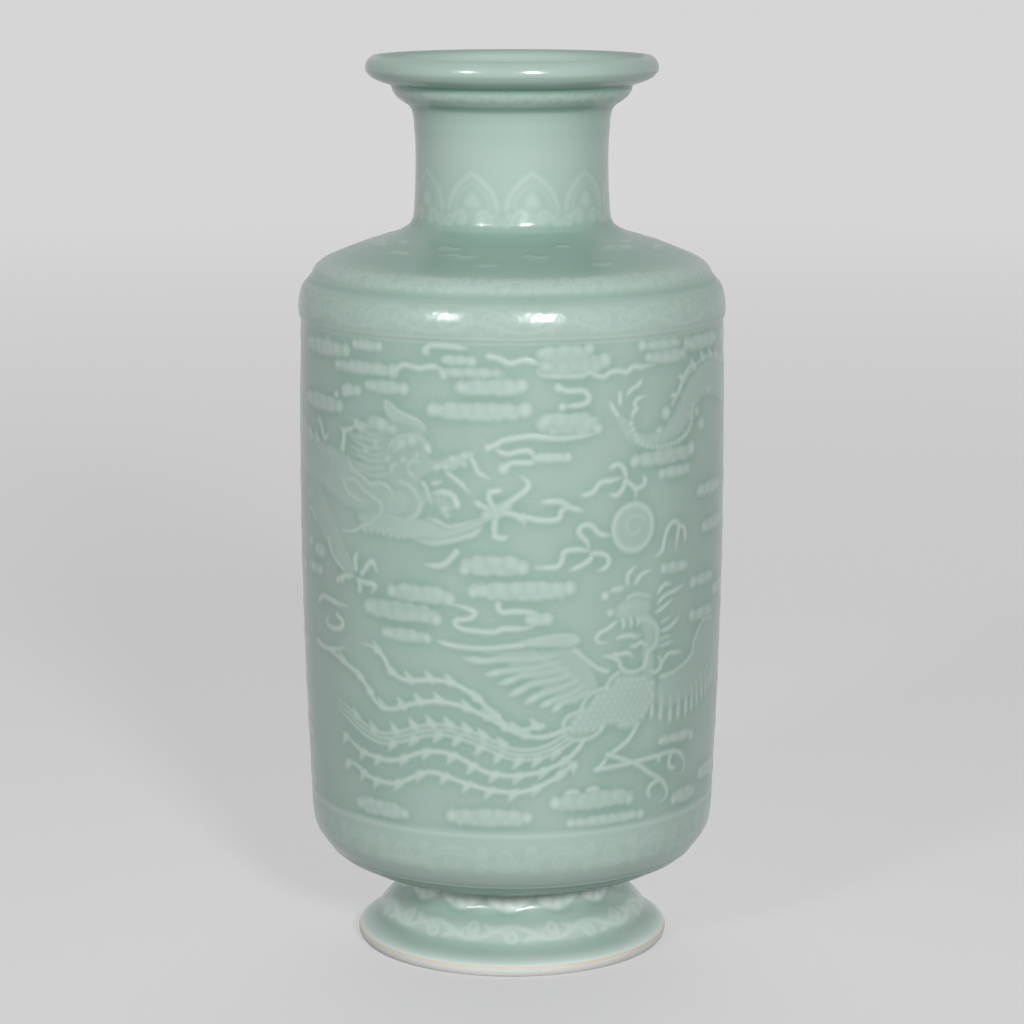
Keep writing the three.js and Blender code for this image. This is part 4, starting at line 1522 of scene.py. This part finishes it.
def celadon_glaze():
    """Glossy blue-green glaze: pale where it runs thin over the carving, deeper where it pools, and
    lighter or darker where the outlines paint light and shade into its tone.
    """
    material, recipe, surface = shader("celadon glaze")
    tone = recipe.step("Attribute", {}, "Fac", attribute_name="glaze_tone_and_painted_light")
    drifting = recipe.maths("ADD", tone, recipe.wander(*GLAZE_DRIFT))
    grained = recipe.maths("ADD", drifting, recipe.wander(*GLAZE_GRAIN))
    colour = recipe.coloured(recipe.mapped(grained, *GLAZE_TONES, 0, 1), [
        (0.0, (0.220, 0.375, 0.310)),
        (0.233, (0.295, 0.440, 0.380)),
        (0.333, (0.380, 0.510, 0.455)),
        (0.5, (0.460, 0.590, 0.535)),
        (0.833, (0.660, 0.760, 0.715)),
        (1.0, (0.780, 0.830, 0.800)),
    ])
    ripple = {"Strength": 0.35, "Distance": 0.00006, "Height": recipe.noise(260)}
    recipe.feed(surface, {
        "Base Color": colour,
        "Roughness": recipe.wander(*GLAZE_GLOSS),
        "IOR": 1.5,
        "Normal": recipe.step("Bump", ripple, "Normal"),
    })
    return material


def fired_slip():
    """Matt off-white porcelain slip."""
    material, recipe, surface = shader("fired slip")
    colour = recipe.coloured(recipe.noise(180), [
        (0.3, (0.60, 0.59, 0.53)),
        (0.7, (0.72, 0.71, 0.65)),
    ])
    recipe.feed(surface, {"Base Color": colour, "Roughness": 0.75})
    return material


def bare_porcelain():
    """The wiped foot rim: white body, fired orange in a thin line where the glaze starts."""
    material, recipe, surface = shader("bare porcelain")
    height = recipe.mapped(recipe.part(recipe.place(), "Z"), 0, GLAZE_EDGE * MM, 0, 0.94)
    colour = recipe.coloured(recipe.maths("ADD", height, recipe.wander(*RIM_WANDER)), [
        (0.0, (0.76, 0.77, 0.73)),
        (0.68, (0.78, 0.79, 0.75)),
        (0.86, (0.76, 0.66, 0.54)),
        (1.0, (0.72, 0.66, 0.56)),
    ])
    recipe.feed(surface, {"Base Color": colour, "Roughness": 0.6})
    return material


# Insides of the sections, from the upper joint down to the lower, as (radius, height)

HALF_LUTE = 0.5


def upper_face(outer, wall, height):
    return [(outer - BUTT, height), (outer - BUTT, height - HALF_LUTE), (outer - wall, height - HALF_LUTE)]


def lower_face(outer, wall, height):
    return [(outer - wall, height + HALF_LUTE), (outer - BUTT, height + HALF_LUTE), (outer - BUTT, height)]


def foot_inside():
    inner = FOOT_WAIST - BODY_WALL
    return upper_face(FOOT_WAIST, BODY_WALL, FOOT_TOP) + [
        (inner, FOOT_DOME_RISE + 6),
        (FOOT_DOME - BODY_WALL - 2, FOOT_DOME_RISE - 1),
        (REST_INNER - 1.2, FOOT_LIP_RISE),
        (REST_INNER, 0),
    ]


def wall_inside(low_radius, low, high_radius, high):
    middle = ((low_radius + high_radius) / 2 + WALL_SWELL - BODY_WALL, (low + high) / 2)
    return upper_face(high_radius, BODY_WALL, high) + [middle] + lower_face(low_radius, BODY_WALL, low)


def bowl_inside():
    floor = FOOT_TOP + FLOOR
    wall = BOWL - BODY_WALL
    rise = BOWL_TOP - FOOT_TOP
    reach = wall - FLOOR_RADIUS
    dish = smooth([
        (wall, BOWL_TOP - rise * 0.32),
        (wall - reach * 0.08, BOWL_TOP - rise * 0.52),
        (wall - reach * 0.3, floor + 3.4),
        (wall - reach * 0.63, floor + 0.6),
        (FLOOR_RADIUS, floor),
    ], 3)
    return upper_face(BOWL, BODY_WALL, BOWL_TOP) + [tuple(point) for point in dish] + [(0, floor)]


def bowl_underside():
    plug = FOOT_WAIST - BODY_WALL - 0.9
    return [
        (0, FOOT_TOP - RECESS_DROP),
        (plug - 2, FOOT_TOP - RECESS_DROP),
        (plug, FOOT_TOP - RECESS_DROP),
        (plug, FOOT_TOP + HALF_LUTE),
        (FOOT_WAIST - BUTT, FOOT_TOP + HALF_LUTE),
        (FOOT_WAIST - BUTT, FOOT_TOP),
    ]


def shoulder_inside():
    inner = NECK_BASE - NECK_WALL
    return upper_face(NECK_BASE, NECK_WALL, NECK_FOOT) + [
        (inner, NECK_FOOT - 6),
        (inner + 6, NECK_FOOT - 10),
        (SHOULDER_EDGE - 8.2, CHAMFER_TOP - 3.8),
        (SHOULDER_EDGE - 2.2, BAND_TOP + 0.6),
        (BODY_TOP_RADIUS - BODY_WALL, BODY_TOP + 7),
    ] + lower_face(BODY_TOP_RADIUS, BODY_WALL, BODY_TOP)


def neck_inside():
    middle = (NECK - NECK_WALL, NECK_NARROWS)
    return (upper_face(NECK_TOP_RADIUS, NECK_WALL, NECK_TOP) + [middle]
            + lower_face(NECK_BASE, NECK_WALL, NECK_FOOT))


def mouth_inside():
    inner = NECK_TOP_RADIUS - NECK_WALL
    dish = smooth([
        (LIP_INNER, LIP_TOP - 2.2),
        (LIP_INNER - 1.6, LIP_TOP - 5.6),
        (COLLAR - 3.6, ROLL_FOOT + 0.4),
        (inner + 6.2, COLLAR_FOOT + 4),
        (inner + 2.2, COLLAR_FOOT),
        (inner + 0.4, NECK_TOP + 4),
    ], 8)
    return [tuple(point) for point in dish[1:]] + lower_face(NECK_TOP_RADIUS, NECK_WALL, NECK_TOP)


# How many columns of points each section has round it
COLUMNS = {
    "foot_ring": 720,
    "base_bowl": 740,
    "lower_body": 1000,
    "upper_body": 1000,
    "shoulder": 1000,
    "neck": 480,
    "mouth_rim": 660,
}

LOWER_WALL = (BOWL, BOWL_TOP, BODY_WAIST, WAIST)
UPPER_WALL = (BODY_WAIST, WAIST, BODY_TOP_RADIUS, BODY_TOP)


def outlines():
    """The outside of every section as evenly spaced points."""
    lines = {
        "foot_ring": foot_outline(),
        "base_bowl": bowl_outline(),
        "lower_body": wall_outline(*LOWER_WALL),
        "upper_body": wall_outline(*UPPER_WALL),
        "shoulder": shoulder_outline(),
        "neck": neck_outline(),
        "mouth_rim": mouth_outline(),
    }
    return {node: even(line, spacing) for node, line in lines.items()}


def insides():
    return {
        "foot_ring": foot_inside(),
        "base_bowl": bowl_inside(),
        "lower_body": wall_inside(*LOWER_WALL),
        "upper_body": wall_inside(*UPPER_WALL),
        "shoulder": shoulder_inside(),
        "neck": neck_inside(),
        "mouth_rim": mouth_inside(),
    }


def reliefs_on(shoulder):
    """Each section's sheets of relief, and whether a sheet's v is the height or the way up the section."""
    body = (body_sheet(), True)
    heights = (CHAMFER_FOOT, CHAMFER_TOP, CHAMFER_TOP + 1)
    chamfer_low, chamfer_high, slope = np.interp(heights, shoulder[:, 1], way_up(shoulder))
    return {
        "foot_ring": [(foot_lappets(), True), (foot_scroll(), True)],
        "base_bowl": [body, (bowl_scroll(), True), (bowl_rings(), False)],
        "lower_body": [body],
        "upper_body": [body],
        "shoulder": [
            body,
            (band_scroll(), True),
            (chamfer_scroll(chamfer_low, chamfer_high), False),
            (slope_clouds(slope), False),
        ],
        "neck": [(neck_lappets(), True)],
        "mouth_rim": [(collar_scroll(), True)],
    }


def cut_in_two(line, inside, wall, cut):
    """A section made in two rings, cut at a point of its outside: the inside of each ring."""
    radius, height = line[cut, :2]
    corner = [(radius - wall, height)]
    lower = corner + [point for point in inside if point[1] < height]
    upper = [point for point in inside if point[1] >= height] + corner
    return lower, upper


def vase():
    """Dresses each section: the neck, mouth and bowl in one piece, the others in two rings."""
    glaze = celadon_glaze()
    shapes = outlines()
    inside = insides()
    reliefs = reliefs_on(shapes["shoulder"])
    names = list(shapes)
    none = np.empty((0, 3))
    for number, node in enumerate(names):
        line = shapes[node]
        below = shapes[names[number - 1]][-3:-1] if number else none
        above = shapes[names[number + 1]][1:3] if number + 1 < len(names) else none
        columns = int(COLUMNS[node] * SPACING / spacing)
        if node in ("neck", "mouth_rim", "base_bowl"):
            lead = bowl_underside() if node == "base_bowl" else ()
            section = Section(line, 0, inside[node], reliefs[node], columns, lead)
            piece = make_piece("glazed_" + node, section, below, above, glaze)
            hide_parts(node)
            continue
        cut = len(line) // 2
        wall = BODY_WALL
        low_name, high_name = "glazed_" + node + "_low", "glazed_" + node + "_high"
        low_finish, low_slot = glaze, "celadon_glaze"
        if node == "foot_ring":
            cut = int(np.argmax(line[:, 1] >= GLAZE_EDGE))
            wall = RIM_WALL
            low_name, high_name = "bare_foot_rim", "glazed_foot_ring"
            low_finish, low_slot = bare_porcelain(), "fired_slip"
        lower, upper = cut_in_two(line, inside[node], wall, cut)
        low = Section(line[:cut + 1], 0, lower, reliefs[node], columns)
        high = Section(line[cut:], way_up(line)[cut], upper, reliefs[node], columns)
        lower_piece = make_piece(low_name, low, below, line[cut + 1:cut + 3], low_finish)
        upper_piece = make_piece(high_name, high, line[cut - 2:cut], above, glaze)
        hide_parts(node)
        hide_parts(node)


def camera_at_photo():
    data = bpy.data.cameras.new("camera")
    camera = bpy.data.objects.new("camera", data)
    bpy.context.collection.objects.link(camera)
    camera.location = (0, -CAMERA_BACK * MM, CAMERA_RISE * MM)
    camera.rotation_euler = (math.radians(90 - CAMERA_TILT), 0, 0)
    data.sensor_width = 36
    data.lens = CAMERA_LENS
    data.clip_start = 0.05
    bpy.context.scene.camera = camera
    bpy.context.scene.view_settings.view_transform = "Standard"


def slip_rings():
    """Each lute's bead of slip inside the vase."""
    slip = fired_slip()
    for node in ("lute_foot", "lute_bowl", "lute_waist", "lute_shoulder", "lute_neck", "lute_mouth"):
        ring = bpy.data.objects[node]
        for place in ring.material_slots:
            place.material = slip


LAMP_DISTANCE = 2.2
LAMP_ELEVATION = 19
LAMP_AIM = 0.18  # the height that the lamps face
LAMP_SIZE = 0.31
LAMP_GRID = math.pi / 4  # the grid in front of a lamp lets no light out further than this from its middle


def softbox(name, azimuth, level):
    """A square lamp that faces the middle of the vase, and shows a white wall at that level."""
    data = bpy.data.lights.new(name, "AREA")
    data.shape = "SQUARE"
    data.size = LAMP_SIZE
    data.spread = 2 * LAMP_GRID
    tilt = math.radians(LAMP_ELEVATION)
    gathered = math.tan(LAMP_GRID) / (math.tan(LAMP_GRID) - LAMP_GRID)
    data.energy = level * (math.pi * LAMP_DISTANCE) ** 2 / math.cos(tilt) / gathered
    lamp = bpy.data.objects.new(name, data)
    bpy.context.collection.objects.link(lamp)
    turn = math.radians(azimuth)
    reach = LAMP_DISTANCE * math.cos(tilt)
    rise = LAMP_DISTANCE * math.sin(tilt)
    lamp.location = (reach * math.sin(turn), -reach * math.cos(turn), LAMP_AIM + rise)
    lamp.rotation_euler = (math.pi / 2 - tilt, 0, turn)


ROOM_FRONT = 0.12  # how strongly the room lights the vase from the front and sides
ROOM_BACK = 3.2  # and from straight behind
ROOM_SEEN = 0.55  # how bright the room shows
FLOOR_SIZE = 40
FLOOR_GREY = 0.3
FLOOR_NEAR = (0.6, 0.42)  # metres from the vase, and how bright the floor shows there
FLOOR_FAR = (3.0, 0.56)


def seen_or_shiny(recipe):
    """1 for the camera and for what shows in a gloss or through glass, otherwise 0."""
    result = recipe.step("LightPath", {}, "Is Camera Ray")
    for ray in ("Is Glossy Ray", "Is Transmission Ray"):
        result = recipe.maths("MAXIMUM", result, recipe.step("LightPath", {}, ray))
    return result


def studio():
    """Two soft lamps in front and a pale grey room, brighter behind the vase."""
    softbox("key lamp", 16, 0.64)
    softbox("left lamp", -35.5, 0.29)
    world = bpy.data.worlds.new("studio")
    bpy.context.scene.world = world
    world.use_nodes = True
    recipe = Recipe(world.node_tree)
    backward = recipe.part(recipe.place("Generated"), "Y")
    room = recipe.mapped(backward, 0.5, 1, ROOM_FRONT, ROOM_BACK)
    mix = {"Factor": seen_or_shiny(recipe), "A": room, "B": ROOM_SEEN}
    strength = recipe.step("Mix", mix, "Result")
    recipe.feed(recipe.nodes["Background"], {"Color": (1, 1, 1, 1), "Strength": strength})


def floor():
    """A wide pale floor that fills the view. It keeps the vase's shadow."""
    shape = bmesh.new()
    bmesh.ops.create_grid(shape, x_segments=1, y_segments=1, size=FLOOR_SIZE)
    mesh = bpy.data.meshes.new("floor")
    shape.to_mesh(mesh)
    shape.free()
    board = bpy.data.objects.new("floor", mesh)
    bpy.context.collection.objects.link(board)
    material, recipe, surface = shader("pale floor")
    away = recipe.step("VectorMath", {0: recipe.place()}, "Value", operation="LENGTH")
    glow = recipe.mapped(away, FLOOR_NEAR[0], FLOOR_FAR[0], FLOOR_NEAR[1], FLOOR_FAR[1])
    recipe.feed(surface, {
        "Base Color": (FLOOR_GREY, FLOOR_GREY, FLOOR_GREY, 1),
        "Roughness": 1.0,
        "Specular IOR Level": 0.0,
        "Emission Color": (1, 1, 1, 1),
        "Emission Strength": recipe.maths("MULTIPLY", glow, seen_or_shiny(recipe)),
    })
    mesh.materials.append(material)


camera_at_photo()
vase()
slip_rings()
floor()
studio()
